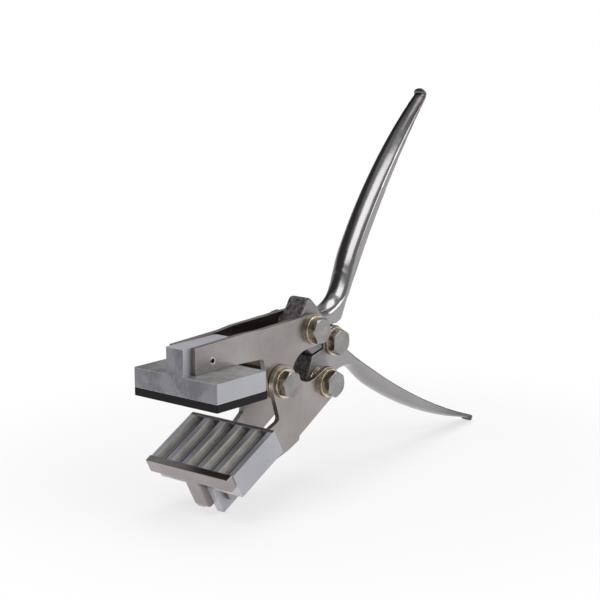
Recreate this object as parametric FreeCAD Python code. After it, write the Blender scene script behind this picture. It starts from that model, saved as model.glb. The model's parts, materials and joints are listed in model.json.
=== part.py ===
import FreeCAD, Part
import math
import os
from FreeCAD import Vector

# Livestock tattoo pliers, in millimetres.
# Every piece is drawn about the jaw pivot: +X runs back to the handles, +Z is up, and the near side,
# where the bolt heads are, is -Y. At the end the whole tool is moved so that it stands on Z = 0.

# Opening of the jaws and the linkage
JAW_OPENING = 28.3
HANDLE_PIVOT_X = 28.7
HANDLE_PIVOT_Z = 23.3
LINK_REACH = 52.0
LINK_DRIFT = 0.78

# Bolts, nuts and washers
BOLT_DIAMETER = 8.0
HEX_FLATS = 13.0
HEAD_HEIGHT = 4.2
NUT_HEIGHT = 6.5
BOLT_END = 1.6
HEX_CHAMFER_FLATS = 12.6
HEX_CHAMFER_ANGLE = 30.0
JAW_BOLT_TURN = -17.0
UPPER_BOLT_TURN = 0.0
LOWER_BOLT_TURN = 30.0
LINK_BOLT_TURN = 30.0
NUT_TURN = 10.0
WASHER_DIAMETER = 16.0
WASHER_THICKNESS = 1.5
RUNNING_FIT = 0.05

# Side plates
PLATE_THICKNESS = 3.0
UPPER_GAP_HALF = 6.0
LOWER_GAP_HALF = 9.3
JOGGLE = 2.0
JOGGLE_START = -27.0
JOGGLE_LENGTH = 12.0
JOGGLE_RADIUS = 8.0
PLATE_FRONT = -61.6
PLATE_HEIGHT_FRONT = 14.0
HANDLE_LOBE_RADIUS = 8.9
JAW_LOBE_RADIUS = 9.6
NOTCH_RADIUS = 13.2
NOTCH_RISE = 1.3
THROAT_X = -12.7
THROAT_RADIUS = 2.6
PLATE_CORNER = 0.6
LOWER_STEP_X = -4.5
LOWER_STEP = 1.8
LOWER_STEP_RUN = 1.0
LOWER_STEP_REAR = 1.0
LOWER_STEP_RADIUS = 1.0
LOWER_TOE_DEPTH = 29.8
LOWER_TOE_RADIUS = 3.0
SEAT_FIT = 0.1

# Upper head, a cast inverted T
HEAD_FRONT = -67.6
HEAD_REAR = -30.9
HEAD_WIDTH = 58.0
FLANGE_BOTTOM = 4.5
FLANGE_THICKNESS = 10.4
RIB_HEIGHT = 14.1
CAST_EDGE = 0.9
PAD_THICKNESS = 4.4
PAD_OVERHANG = 1.0

# Digit tray with its stem
TRAY_FRONT = -66.1
TRAY_REAR = -30.2
TRAY_TOP = -3.6
TRAY_THICKNESS = 14.3
STEM_FRONT_STEP = 0.3
STEM_BOTTOM = -33.6
SLOT_COUNT = 5
SLOT_PITCH = 11.0
SLOT_WIDTH = 7.4
SLOT_DEPTH = 4.0
SLOT_REAR_WALL = 2.0
SLOT_CORNER = 1.2

# Keeper gate across the front of the slots
KEEPER_THICKNESS = 4.3
KEEPER_TOP = -2.5
KEEPER_HEIGHT = 8.0
KEEPER_INSET = 0.3
TONGUE_WIDTH = 8.7
TONGUE_BOTTOM = -28.8
TONGUE_CORNER = 3.0
RAIL_WIDTH = 12.6
RAIL_THICKNESS = 2.4
RAIL_TOP = -12.0
NECK_LENGTH = 1.8
SLIDE_FIT = 0.1

# Spring pins through the heads
HEAD_PIN_X = -48.9
HEAD_PIN_Z = 20.4
HEAD_PIN_DIAMETER = 4.0
HEAD_PIN_WALL = 0.7
HEAD_PIN_SLIT = 0.7

# Jaw pivot sleeve
SLEEVE_DIAMETER = 13.0

# Handles, drawn along the line that halves the angle between the jaws
HANDLE_ROOT_WIDTH = 13.0
ROOT_GAP = 0.4
ROOT_FRONT = 32.8
BOSS_RADIUS = 9.2
KNUCKLE_U = 37.6
KNUCKLE_V = 31.7
KNUCKLE_RADIUS = 3.2
VALLEY_U = 48.2
VALLEY_V = 16.9
VALLEY_RIGHT_U = 58.9
VALLEY_RIGHT_V = 20.1
VALLEY_RADIUS = 7.0
VALLEY_RIGHT_RADIUS = 9.0
LAP_RADIUS = 8.8
LAP_CLEARANCE = 0.95
SHOULDER_U = 61.3
SHOULDER_V = 8.6
TIP_U = 170.15
TIP_V = 104.3
ROOT_FRONT_CORNER = 0.6

# Grip: an arched bar with a flat inside, a crowned back and a beaded tip
GRIP_BOW = 6.0
GRIP_BELLY = 2.6
GRIP_ROOT_THICKNESS = 7.9
GRIP_TIP_THICKNESS = 1.7
GRIP_CROWN_RADIUS = 9.6
GRIP_START = 7.9
GRIP_START_WIDTH = 13.2
GRIP_MIDDLE_WIDTH = 13.6
GRIP_END_WIDTH = 9.2
TIP_ROUND = 4.2
TIP_BEAD_RADIUS = 1.8
TIP_BEAD_BACK = 1.4
TIP_BEAD_RISE = 2.2
TIP_CURL_RADIUS = 10.0
ROOT_END = 10.7
ROOT_TOP = 4.8
RUNOUT_RADIUS = 27.0

# Sizes worked out from those above
BOLT_RADIUS = BOLT_DIAMETER / 2
WASHER_RADIUS = WASHER_DIAMETER / 2
UPPER_INNER = UPPER_GAP_HALF + JOGGLE
UPPER_OUTER = UPPER_INNER + PLATE_THICKNESS
LOWER_INNER = LOWER_GAP_HALF + JOGGLE
LOWER_OUTER = LOWER_INNER + PLATE_THICKNESS
ROOT_HALF = HANDLE_ROOT_WIDTH / 2
FLANGE_TOP = FLANGE_BOTTOM + FLANGE_THICKNESS
TRAY_BOTTOM = TRAY_TOP - TRAY_THICKNESS
BISECTOR = JAW_OPENING / 2
KEEPER_WIDTH = HEAD_WIDTH - 2 * KEEPER_INSET
GRIP_CHORD = math.hypot(TIP_U - SHOULDER_U, TIP_V - SHOULDER_V)
GRIP_SLOPE = math.atan2(TIP_V - SHOULDER_V, TIP_U - SHOULDER_U)

# Lengths of the cutting tools: how far they stand past a face, and far past the whole tool
PAST = 1.0
REACH = 200.0

SIDE = "side"
PLAN = "plan"


def place(kind, a, b):
    """Put a drawing point on the side view (X, Z) or the plan view (X, Y)."""
    if kind == SIDE:
        return Vector(a, 0, b)
    return Vector(a, b, 0)


def belt(first, second):
    """Touching points of the line between two discs; a negative radius is a hollow."""
    along = math.atan2(second[1] - first[1], second[0] - first[0])
    distance = math.hypot(second[0] - first[0], second[1] - first[1])
    lean = math.acos(max(-1.0, min(1.0, (first[2] - second[2]) / distance)))
    normal = (math.cos(along - lean), math.sin(along - lean))
    leave = (first[0] + first[2] * normal[0], first[1] + first[2] * normal[1])
    arrive = (second[0] + second[2] * normal[0], second[1] + second[2] * normal[1])
    return leave, arrive


def arc_between(kind, centre, radius, start, end, turn):
    """Arc about a centre from one point to another, turning left (+1) or right (-1)."""
    a0 = math.atan2(start[1] - centre[1], start[0] - centre[0])
    a1 = math.atan2(end[1] - centre[1], end[0] - centre[0])
    sweep = (a1 - a0) * turn % (2 * math.pi)
    middle = a0 + turn * sweep / 2
    through = (centre[0] + radius * math.cos(middle), centre[1] + radius * math.sin(middle))
    return Part.Arc(place(kind, *start), place(kind, *through), place(kind, *end)).toShape()


def outline(kind, marks):
    """Closed face from marks, listed counterclockwise.

    ("corner", a, b, r) is a corner rounded with r, ("wrap", a, b, r) runs round a disc on its
    left, and ("hollow", a, b, r) runs round a disc on its right.
    """
    discs = []
    for what, a, b, r in marks:
        signed = {"corner": 0.0, "wrap": r, "hollow": -r}[what]
        discs.append((a, b, signed))
    count = len(marks)
    lines = [belt(discs[i], discs[(i + 1) % count]) for i in range(count)]
    arrive = []
    leave = []
    for i, (what, a, b, r) in enumerate(marks):
        came, went = lines[i - 1], lines[i]
        if what != "corner":
            arrive.append(came[1])
            leave.append(went[0])
            continue
        d_in = math.atan2(b - came[0][1], a - came[0][0])
        d_out = math.atan2(went[1][1] - b, went[1][0] - a)
        turn = (d_out - d_in + math.pi) % (2 * math.pi) - math.pi
        cut = r * math.tan(abs(turn) / 2)
        arrive.append((a - cut * math.cos(d_in), b - cut * math.sin(d_in)))
        leave.append((a + cut * math.cos(d_out), b + cut * math.sin(d_out)))
    edges = []
    for i, (what, a, b, r) in enumerate(marks):
        if math.dist(arrive[i], leave[i]) > 1e-6:
            if what == "corner":
                d_in = math.atan2(b - arrive[i][1], a - arrive[i][0])
                d_out = math.atan2(leave[i][1] - b, leave[i][0] - a)
                side = 1 if math.sin(d_out - d_in) > 0 else -1
                centre = (arrive[i][0] - side * r * math.sin(d_in),
                          arrive[i][1] + side * r * math.cos(d_in))
                edges.append(arc_between(kind, centre, r, arrive[i], leave[i], side))
            else:
                side = 1 if what == "wrap" else -1
                edges.append(arc_between(kind, (a, b), r, arrive[i], leave[i], side))
        following = arrive[(i + 1) % count]
        if math.dist(leave[i], following) > 1e-6:
            edges.append(Part.makeLine(place(kind, *leave[i]), place(kind, *following)))
    return Part.Face(Part.Wire(edges))


def prism(kind, marks, low, high):
    """Outline made solid between two heights: along Y for a side view, along Z for a plan."""
    face = outline(kind, marks)
    direction = Vector(0, 1, 0) if kind == SIDE else Vector(0, 0, 1)
    face.translate(direction * low)
    return face.extrude(direction * (high - low))


def rod(x, z, radius, y0, y1):
    """Cylinder across the tool."""
    return Part.makeCylinder(radius, y1 - y0, Vector(x, y0, z), Vector(0, 1, 0))


def box(x0, x1, y0, y1, z0, z1):
    return Part.makeBox(x1 - x0, y1 - y0, z1 - z0, Vector(x0, y0, z0))


def mirror_z(shape):
    return shape.mirror(Vector(0, 0, 0), Vector(0, 0, 1))


def mirror_y(shape):
    return shape.mirror(Vector(0, 0, 0), Vector(0, 1, 0))


def tilted(shape, degrees):
    """Copy turned about the jaw pivot; positive lifts the handle end."""
    copy = shape.copy()
    copy.rotate(Vector(0, 0, 0), Vector(0, 1, 0), -degrees)
    return copy


def lower(shape):
    """Take a piece drawn square to the lower jaw to where the open lower jaw is."""
    return tilted(shape, JAW_OPENING)


def long_edges(shape, direction):
    """Straight edges along a direction."""
    found = []
    for edge in shape.Edges:
        if isinstance(edge.Curve, Part.Line) and abs(edge.Curve.Direction.dot(direction)) > 0.999:
            found.append(edge)
    return found


def hex_block(x, z, y0, y1, turn, chamfer_near):
    """Hexagonal block along Y with the corners turned off its near or its far end."""
    corner_radius = HEX_FLATS / math.sqrt(3)
    points = []
    for i in range(7):
        angle = math.radians(turn + 60 * i)
        points.append(Vector(corner_radius * math.cos(angle), 0, corner_radius * math.sin(angle)))
    length = y1 - y0
    block = Part.Face(Part.makePolygon(points)).extrude(Vector(0, length, 0))
    small = HEX_CHAMFER_FLATS / 2
    slope = math.tan(math.radians(HEX_CHAMFER_ANGLE))
    wide = small + length / slope
    turned = Part.makeCone(small, wide, length, Vector(0, 0, 0), Vector(0, 1, 0))
    if not chamfer_near:
        turned = mirror_y(turned)
        turned.translate(Vector(0, length, 0))
    block = block.common(turned)
    block.translate(Vector(x, y0, z))
    return block


def bolt(x, z, seat, end, turn):
    """Hexagon bolt with its head on the near side, seated at Y = seat."""
    head = hex_block(x, z, seat - HEAD_HEIGHT, seat, turn, True)
    return head.fuse(rod(x, z, BOLT_RADIUS, seat, end)).removeSplitter()


def nut(x, z, seat, turn):
    block = hex_block(x, z, seat, seat + NUT_HEIGHT, turn, False)
    return block.cut(rod(x, z, BOLT_RADIUS + RUNNING_FIT, seat - PAST, seat + NUT_HEIGHT + PAST))


def washer(x, z, y0, thickness):
    ring = rod(x, z, WASHER_RADIUS, y0, y0 + thickness)
    return ring.cut(rod(x, z, BOLT_RADIUS + RUNNING_FIT, y0 - PAST, y0 + thickness + PAST))


def washers_outside(x, z, near_face, far_face):
    """One washer under the bolt head and one under the nut."""
    return [washer(x, z, near_face - WASHER_THICKNESS, WASHER_THICKNESS),
            washer(x, z, far_face, WASHER_THICKNESS)]


def washers_inside(x, z, inner):
    """Rings that fill the space between each plate and the handle root; a stack is one ring."""
    thickness = inner - ROOT_HALF
    return [washer(x, z, ROOT_HALF, thickness), washer(x, z, -ROOT_HALF - thickness, thickness)]


def bore(shape, x, z, clearance):
    return shape.cut(rod(x, z, BOLT_RADIUS + clearance, -REACH, REACH))


def plate(marks, gap_half, far):
    """Side plate: its outline, cut from sheet that is joggled outwards behind the head."""
    bend = JOGGLE_START + JOGGLE_LENGTH
    inner = gap_half + JOGGLE
    r = JOGGLE_RADIUS
    t = PLATE_THICKNESS
    sheet = [("corner", -REACH, gap_half, 0.0), ("corner", JOGGLE_START, gap_half, r + t),
             ("corner", bend, inner, r), ("corner", REACH, inner, 0.0),
             ("corner", REACH, inner + t, 0.0), ("corner", bend, inner + t, r + t),
             ("corner", JOGGLE_START, gap_half + t, r), ("corner", -REACH, gap_half + t, 0.0)]
    solid = prism(PLAN, sheet, -REACH, REACH).common(prism(SIDE, marks, 0.0, REACH))
    solid = bore(solid, 0.0, 0.0, RUNNING_FIT)
    solid = bore(solid, HANDLE_PIVOT_X, HANDLE_PIVOT_Z, RUNNING_FIT)
    solid = solid.cut(rod(HEAD_PIN_X, HEAD_PIN_Z, HEAD_PIN_DIAMETER / 2, -REACH, REACH))
    return solid if far else mirror_y(solid)


def plate_rear():
    """Marks that both pairs of plates share, from the throat round to the handle lobe."""
    notch = JAW_LOBE_RADIUS + NOTCH_RADIUS
    return [("corner", THROAT_X, FLANGE_TOP, THROAT_RADIUS),
            ("wrap", 0.0, 0.0, JAW_LOBE_RADIUS),
            ("hollow", notch * math.cos(math.radians(NOTCH_RISE)),
             notch * math.sin(math.radians(NOTCH_RISE)), NOTCH_RADIUS),
            ("wrap", HANDLE_PIVOT_X, HANDLE_PIVOT_Z, HANDLE_LOBE_RADIUS)]


def upper_plate(far):
    marks = [("corner", PLATE_FRONT, FLANGE_TOP, PLATE_CORNER)]
    marks += plate_rear()
    marks.append(("corner", PLATE_FRONT, FLANGE_TOP + PLATE_HEIGHT_FRONT, PLATE_CORNER))
    return plate(marks, UPPER_GAP_HALF, far)


def lower_plate(far):
    """The same blank turned over, let in under the tray and a little deeper towards the front."""
    rear_edge = TRAY_REAR + SEAT_FIT
    step_z = HANDLE_PIVOT_Z + HANDLE_LOBE_RADIUS + LOWER_STEP_REAR
    marks = [("corner", PLATE_FRONT, -TRAY_BOTTOM, PLATE_CORNER),
             ("corner", rear_edge, -TRAY_BOTTOM, 0.0),
             ("corner", rear_edge, FLANGE_TOP, PLATE_CORNER)]
    marks += plate_rear()
    step_front = LOWER_STEP_X - LOWER_STEP_RUN
    marks.append(("corner", LOWER_STEP_X, step_z, LOWER_STEP_RADIUS))
    marks.append(("corner", step_front, step_z + LOWER_STEP, LOWER_STEP_RADIUS))
    marks.append(("corner", PLATE_FRONT, LOWER_TOE_DEPTH, LOWER_TOE_RADIUS))
    return lower(mirror_z(plate(marks, LOWER_GAP_HALF, far)))


def head_pin(gap_half):
    """Rolled spring pin, flush with the outer faces of the two plates."""
    reach = gap_half + PLATE_THICKNESS
    radius = HEAD_PIN_DIAMETER / 2
    tube = rod(HEAD_PIN_X, HEAD_PIN_Z, radius, -reach, reach)
    tube = tube.cut(rod(HEAD_PIN_X, HEAD_PIN_Z, radius - HEAD_PIN_WALL, -REACH, REACH))
    gap = HEAD_PIN_SLIT / 2
    slit = box(HEAD_PIN_X - REACH, HEAD_PIN_X, -REACH, REACH, HEAD_PIN_Z - gap, HEAD_PIN_Z + gap)
    return tube.cut(slit)


def upper_head():
    """Cast head: a wide flange that backs the rubber, and a rib that the plates grip."""
    half = HEAD_WIDTH / 2
    flange = box(HEAD_FRONT, HEAD_REAR, -half, half, FLANGE_BOTTOM, FLANGE_TOP)
    flange = flange.makeFillet(CAST_EDGE, long_edges(flange, Vector(0, 0, 1)))
    rib = box(HEAD_FRONT, HEAD_REAR, -UPPER_GAP_HALF, UPPER_GAP_HALF, FLANGE_BOTTOM,
              FLANGE_TOP + RIB_HEIGHT)
    rib = rib.makeFillet(CAST_EDGE, long_edges(rib, Vector(0, 0, 1)))
    head = flange.fuse(rib)
    return head.cut(rod(HEAD_PIN_X, HEAD_PIN_Z, HEAD_PIN_DIAMETER / 2, -REACH, REACH))


def rubber_pad():
    half = HEAD_WIDTH / 2
    pad = box(HEAD_FRONT, HEAD_REAR + PAD_OVERHANG, -half, half, FLANGE_BOTTOM - PAD_THICKNESS,
              FLANGE_BOTTOM)
    return pad.makeFillet(CAST_EDGE, long_edges(pad, Vector(0, 0, 1)))


def slot_centres():
    first = -(SLOT_COUNT - 1) / 2
    return [(first + i) * SLOT_PITCH for i in range(SLOT_COUNT)]


def digit_tray():
    """Cast tray with its stem: digit slots milled from the front, ending in round run-outs."""
    half = HEAD_WIDTH / 2
    tray = box(TRAY_FRONT, TRAY_REAR, -half, half, TRAY_BOTTOM, TRAY_TOP)
    tray = tray.makeFillet(CAST_EDGE, long_edges(tray, Vector(0, 0, 1)))
    stem = box(TRAY_FRONT - STEM_FRONT_STEP, TRAY_REAR, -LOWER_GAP_HALF, LOWER_GAP_HALF,
               STEM_BOTTOM, TRAY_BOTTOM + CAST_EDGE)
    tray = tray.fuse(stem)
    r = SLOT_WIDTH / 2
    end = TRAY_REAR - SLOT_REAR_WALL
    floor = TRAY_TOP - SLOT_DEPTH
    for centre in slot_centres():
        marks = [("corner", -REACH, centre - r, 0.0), ("corner", end, centre - r, SLOT_CORNER),
                 ("corner", end, centre + r, SLOT_CORNER), ("corner", -REACH, centre + r, 0.0)]
        tray = tray.cut(prism(PLAN, marks, floor, TRAY_TOP + PAST))
    tray = tray.cut(keeper_tongue(SLIDE_FIT))
    tray = tray.cut(rod(HEAD_PIN_X, -HEAD_PIN_Z, HEAD_PIN_DIAMETER / 2, -REACH, REACH))
    return lower(tray.removeSplitter())


def keeper_tongue(clearance):
    """The T rail behind the keeper; with a clearance it is the slot that the rail runs in."""
    back = TRAY_FRONT - STEM_FRONT_STEP
    bottom = TONGUE_BOTTOM if clearance == 0 else STEM_BOTTOM - PAST
    neck = TONGUE_WIDTH / 2 + clearance
    rail = RAIL_WIDTH / 2 + clearance
    top = RAIL_TOP + clearance
    shape = box(back - PAST, back + NECK_LENGTH + clearance, -neck, neck, bottom, top)
    flange = box(back + NECK_LENGTH - clearance, back + NECK_LENGTH + RAIL_THICKNESS + clearance,
                 -rail, rail, bottom, top)
    return shape.fuse(flange)


def digit_keeper():
    """T-shaped gate: a bar across the slots and a tongue that slides in the stem."""
    face = TRAY_FRONT - STEM_FRONT_STEP - SLIDE_FIT
    front = face - KEEPER_THICKNESS
    half = KEEPER_WIDTH / 2
    bar = box(front, face, -half, half, KEEPER_TOP - KEEPER_HEIGHT, KEEPER_TOP)
    tongue = box(front, face, -TONGUE_WIDTH / 2, TONGUE_WIDTH / 2, TONGUE_BOTTOM, KEEPER_TOP)
    corner = [edge for edge in long_edges(tongue, Vector(0, 1, 0))
              if edge.CenterOfMass.z < TONGUE_BOTTOM + 0.1 and edge.CenterOfMass.x < front + 0.1]
    tongue = tongue.makeFillet(TONGUE_CORNER, corner)
    rail = keeper_tongue(0.0)
    return lower(bar.fuse([tongue, rail]).removeSplitter())


def circle_through(start, middle, end):
    """Circle through three points that are given along the grip's chord and outwards from it."""
    arc = Part.Arc(Vector(start[0], 0, start[1]), Vector(middle[0], 0, middle[1]),
                   Vector(end[0], 0, end[1]))
    return arc.toShape().Curve


def grip_inside():
    """Circle that the flat inside of the grip follows."""
    return circle_through((0.0, 0.0), (GRIP_CHORD / 2, GRIP_BOW), (GRIP_CHORD, 0.0))


def inside_at(along):
    """Height of the inside of the grip over a place on the chord."""
    circle = grip_inside()
    return circle.Center.z + math.sqrt(circle.Radius ** 2 - (along - circle.Center.x) ** 2)


def off_chord(along, out):
    """Point of the side view, from its place along the grip's chord and outwards from it."""
    u = SHOULDER_U + along * math.cos(GRIP_SLOPE) - out * math.sin(GRIP_SLOPE)
    v = SHOULDER_V + along * math.sin(GRIP_SLOPE) + out * math.cos(GRIP_SLOPE)
    return u, v


def grip_plan():
    """The grip seen from above: widest before its middle, with a round tip."""
    start, middle, end = GRIP_START_WIDTH / 2, GRIP_MIDDLE_WIDTH / 2, GRIP_END_WIDTH / 2
    shoulder = GRIP_CHORD - TIP_ROUND
    near = Part.Arc(Vector(GRIP_START, -start, 0), Vector(GRIP_CHORD / 2, -middle, 0),
                    Vector(shoulder, -end, 0)).toShape()
    tip = Part.Arc(Vector(shoulder, -end, 0), Vector(GRIP_CHORD, 0, 0), Vector(shoulder, end, 0)).toShape()
    far = Part.Arc(Vector(shoulder, end, 0), Vector(GRIP_CHORD / 2, middle, 0),
                   Vector(GRIP_START, start, 0)).toShape()
    back = Part.makeLine(Vector(GRIP_START, start, 0), Vector(GRIP_START, -start, 0))
    face = Part.Face(Part.Wire([near, tip, far, back]))
    face.translate(Vector(0, 0, -REACH))
    return face.extrude(Vector(0, 0, 2 * REACH))


def grip():
    """The handle's grip: a ring with a round section makes the crowned back, an arc cuts the flat
    inside, and the plan gives the taper. The back runs out in a hollow towards the root."""
    crest = (GRIP_ROOT_THICKNESS + GRIP_TIP_THICKNESS) / 2 + GRIP_BOW + GRIP_BELLY
    back = circle_through((0.0, GRIP_ROOT_THICKNESS), (GRIP_CHORD / 2, crest),
                          (GRIP_CHORD, GRIP_TIP_THICKNESS))
    ring = Part.makeTorus(back.Radius - GRIP_CROWN_RADIUS, GRIP_CROWN_RADIUS, back.Center,
                          Vector(0, 1, 0))
    inside = grip_inside()
    hollow = rod(inside.Center.x, inside.Center.z, inside.Radius, -REACH, REACH)
    bead_x = GRIP_CHORD - TIP_BEAD_BACK
    bead_z = inside_at(bead_x) + TIP_BEAD_RISE
    bead = rod(bead_x, bead_z, TIP_BEAD_RADIUS, -GRIP_END_WIDTH, GRIP_END_WIDTH)
    curl = rod(bead_x, bead_z - TIP_BEAD_RADIUS - TIP_CURL_RADIUS, TIP_CURL_RADIUS, -REACH, REACH)
    runout = rod(GRIP_START, inside_at(GRIP_START) + ROOT_TOP + RUNOUT_RADIUS, RUNOUT_RADIUS,
                 -REACH, REACH)
    plan = grip_plan()
    body = plan.common(ring).cut([hollow, runout, curl]).fuse(plan.common(bead))
    body.rotate(Vector(0, 0, 0), Vector(0, 1, 0), -math.degrees(GRIP_SLOPE))
    body.translate(Vector(SHOULDER_U, 0, SHOULDER_V))
    return body


def handle_root():
    """Forged root: boss, knuckle, valley and the halved lap, before it is bored."""
    link = (LINK_REACH, 0.0)
    lap_line = belt((link[0], link[1], LAP_RADIUS), (SHOULDER_U, SHOULDER_V, 0.0))
    pivot = upper_handle_place()
    under = off_chord(ROOT_END, inside_at(ROOT_END))
    over = off_chord(ROOT_END, inside_at(ROOT_END) + ROOT_TOP)
    marks = [("corner", ROOT_FRONT, ROOT_GAP, ROOT_FRONT_CORNER), ("corner", link[0], ROOT_GAP, 0.0),
             ("corner", lap_line[0][0], lap_line[0][1], 0.0),
             ("corner", SHOULDER_U, SHOULDER_V, 0.0), ("corner", under[0], under[1], 0.0),
             ("corner", over[0], over[1], 0.0),
             ("corner", VALLEY_RIGHT_U, VALLEY_RIGHT_V, VALLEY_RIGHT_RADIUS),
             ("corner", VALLEY_U, VALLEY_V, VALLEY_RADIUS),
             ("wrap", KNUCKLE_U, KNUCKLE_V - KNUCKLE_RADIUS, KNUCKLE_RADIUS),
             ("wrap", pivot[0], pivot[1], BOSS_RADIUS)]
    full = prism(SIDE, marks, -ROOT_HALF, ROOT_HALF)
    full = full.fuse(rod(link[0], link[1], LAP_RADIUS, -ROOT_HALF, ROOT_HALF))
    pocket = rod(link[0], link[1], LAP_RADIUS + LAP_CLEARANCE, -REACH, 0.0)
    pocket = pocket.fuse(box(link[0], SHOULDER_U + 0.01, -REACH, 0.0, -REACH, SHOULDER_V))
    pocket = pocket.fuse(box(link[0], REACH, -REACH, 0.0, -REACH, ROOT_GAP))
    return full.cut(pocket)


def upper_handle_place():
    """Upper handle pivot in the frame of the line that halves the jaws."""
    b = math.radians(BISECTOR)
    u = HANDLE_PIVOT_X * math.cos(b) + HANDLE_PIVOT_Z * math.sin(b)
    v = -HANDLE_PIVOT_X * math.sin(b) + HANDLE_PIVOT_Z * math.cos(b)
    return u, v


def handle(link_clearance):
    """One forging, before it is put in place; its link hole has the given clearance."""
    shape = handle_root().fuse(grip()).removeSplitter()
    pivot = upper_handle_place()
    shape = bore(shape, pivot[0], pivot[1], RUNNING_FIT)
    return bore(shape, LINK_REACH, 0.0, link_clearance)


def upper_handle():
    return tilted(handle(LINK_DRIFT + 2 * RUNNING_FIT), BISECTOR)


def lower_handle():
    """The same forging turned over about the line that halves the jaws."""
    return tilted(mirror_z(mirror_y(handle(RUNNING_FIT))), BISECTOR)


def lower_pivot():
    """Lower handle pivot in the frame of the whole tool."""
    b = math.radians(JAW_OPENING)
    x = HANDLE_PIVOT_X * math.cos(b) + HANDLE_PIVOT_Z * math.sin(b)
    z = HANDLE_PIVOT_X * math.sin(b) - HANDLE_PIVOT_Z * math.cos(b)
    return x, z


def link_pivot():
    """Pivot that joins the two handles."""
    b = math.radians(BISECTOR)
    return LINK_REACH * math.cos(b), LINK_REACH * math.sin(b)


def pivot_set(x, z, near_face, far_face, turn, extra):
    """Bolt, nut and washers of one pivot, with any inner washers."""
    seat = near_face - WASHER_THICKNESS
    nut_seat = far_face + WASHER_THICKNESS
    rings = washers_outside(x, z, near_face, far_face) + extra
    return (bolt(x, z, seat, nut_seat + NUT_HEIGHT + BOLT_END, turn),
            nut(x, z, nut_seat, turn + NUT_TURN), Part.makeCompound(rings))


def all_pieces():
    pieces = {}
    pieces["upper_head"] = upper_head()
    pieces["rubber_pad"] = rubber_pad()
    pieces["upper_near_plate"] = upper_plate(False)
    pieces["upper_far_plate"] = upper_plate(True)
    pieces["upper_head_pin"] = head_pin(UPPER_GAP_HALF)
    sleeve = rod(0, 0, SLEEVE_DIAMETER / 2, -UPPER_INNER, UPPER_INNER)
    pieces["jaw_spacer_sleeve"] = bore(sleeve, 0.0, 0.0, RUNNING_FIT)
    pieces["digit_tray"] = digit_tray()
    pieces["digit_keeper"] = digit_keeper()
    pieces["lower_near_plate"] = lower_plate(False)
    pieces["lower_far_plate"] = lower_plate(True)
    pieces["lower_head_pin"] = lower(mirror_z(head_pin(LOWER_GAP_HALF)))
    x, z = lower_pivot()
    link_x, link_z = link_pivot()
    sets = {
        "jaw_pivot": (0.0, 0.0, -LOWER_OUTER, LOWER_OUTER, JAW_BOLT_TURN, []),
        "upper_handle": (HANDLE_PIVOT_X, HANDLE_PIVOT_Z, -UPPER_OUTER, UPPER_OUTER, UPPER_BOLT_TURN,
                         washers_inside(HANDLE_PIVOT_X, HANDLE_PIVOT_Z, UPPER_INNER)),
        "lower_handle": (x, z, -LOWER_OUTER, LOWER_OUTER, LOWER_BOLT_TURN,
                         washers_inside(x, z, LOWER_INNER)),
        "handle_link": (link_x, link_z, -ROOT_HALF, ROOT_HALF, LINK_BOLT_TURN, []),
    }
    for name, row in sets.items():
        parts = pivot_set(*row)
        pieces[name + "_bolt"] = parts[0]
        pieces[name + "_nut"] = parts[1]
        pieces[name + "_washers"] = parts[2]
    pieces["upper_handle"] = upper_handle()
    pieces["lower_handle"] = lower_handle()
    return pieces


def main():
    os.makedirs("parts", exist_ok=True)
    pieces = all_pieces()
    boxes = [piece.optimalBoundingBox(False) for piece in pieces.values()]
    low_x, high_x = min(b.XMin for b in boxes), max(b.XMax for b in boxes)
    low_y, high_y = min(b.YMin for b in boxes), max(b.YMax for b in boxes)
    low_z, high_z = min(b.ZMin for b in boxes), max(b.ZMax for b in boxes)
    shift = Vector(-(low_x + high_x) / 2, -(low_y + high_y) / 2, -low_z)
    print("size", round(high_x - low_x, 3), round(high_y - low_y, 3), round(high_z - low_z, 3))
    print("jaw pivot at", [round(value, 4) for value in shift])
    for name, piece in pieces.items():
        piece.translate(shift)
        print(name, "solids", len(piece.Solids), "valid", piece.isValid(), "volume", round(piece.Volume, 1))
        piece.exportStep("parts/" + name + ".step")


main()
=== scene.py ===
# %% [markdown]
# # Livestock tattoo pliers, dressed for the studio
# The pliers come to us as a finished construction: every plate, casting, forging and bolt is
# already at its real size and place. Here they get what a drawing doesn't hold: softened edges,
# rolled threads, and the surfaces of cast aluminium, nickel plate, polished nickel, zinc and
# rubber. We start by loading the construction.

# %% Load the construction
import json
import math

import bmesh
import bpy
import numpy as np
from mathutils import Matrix, Vector


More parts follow.
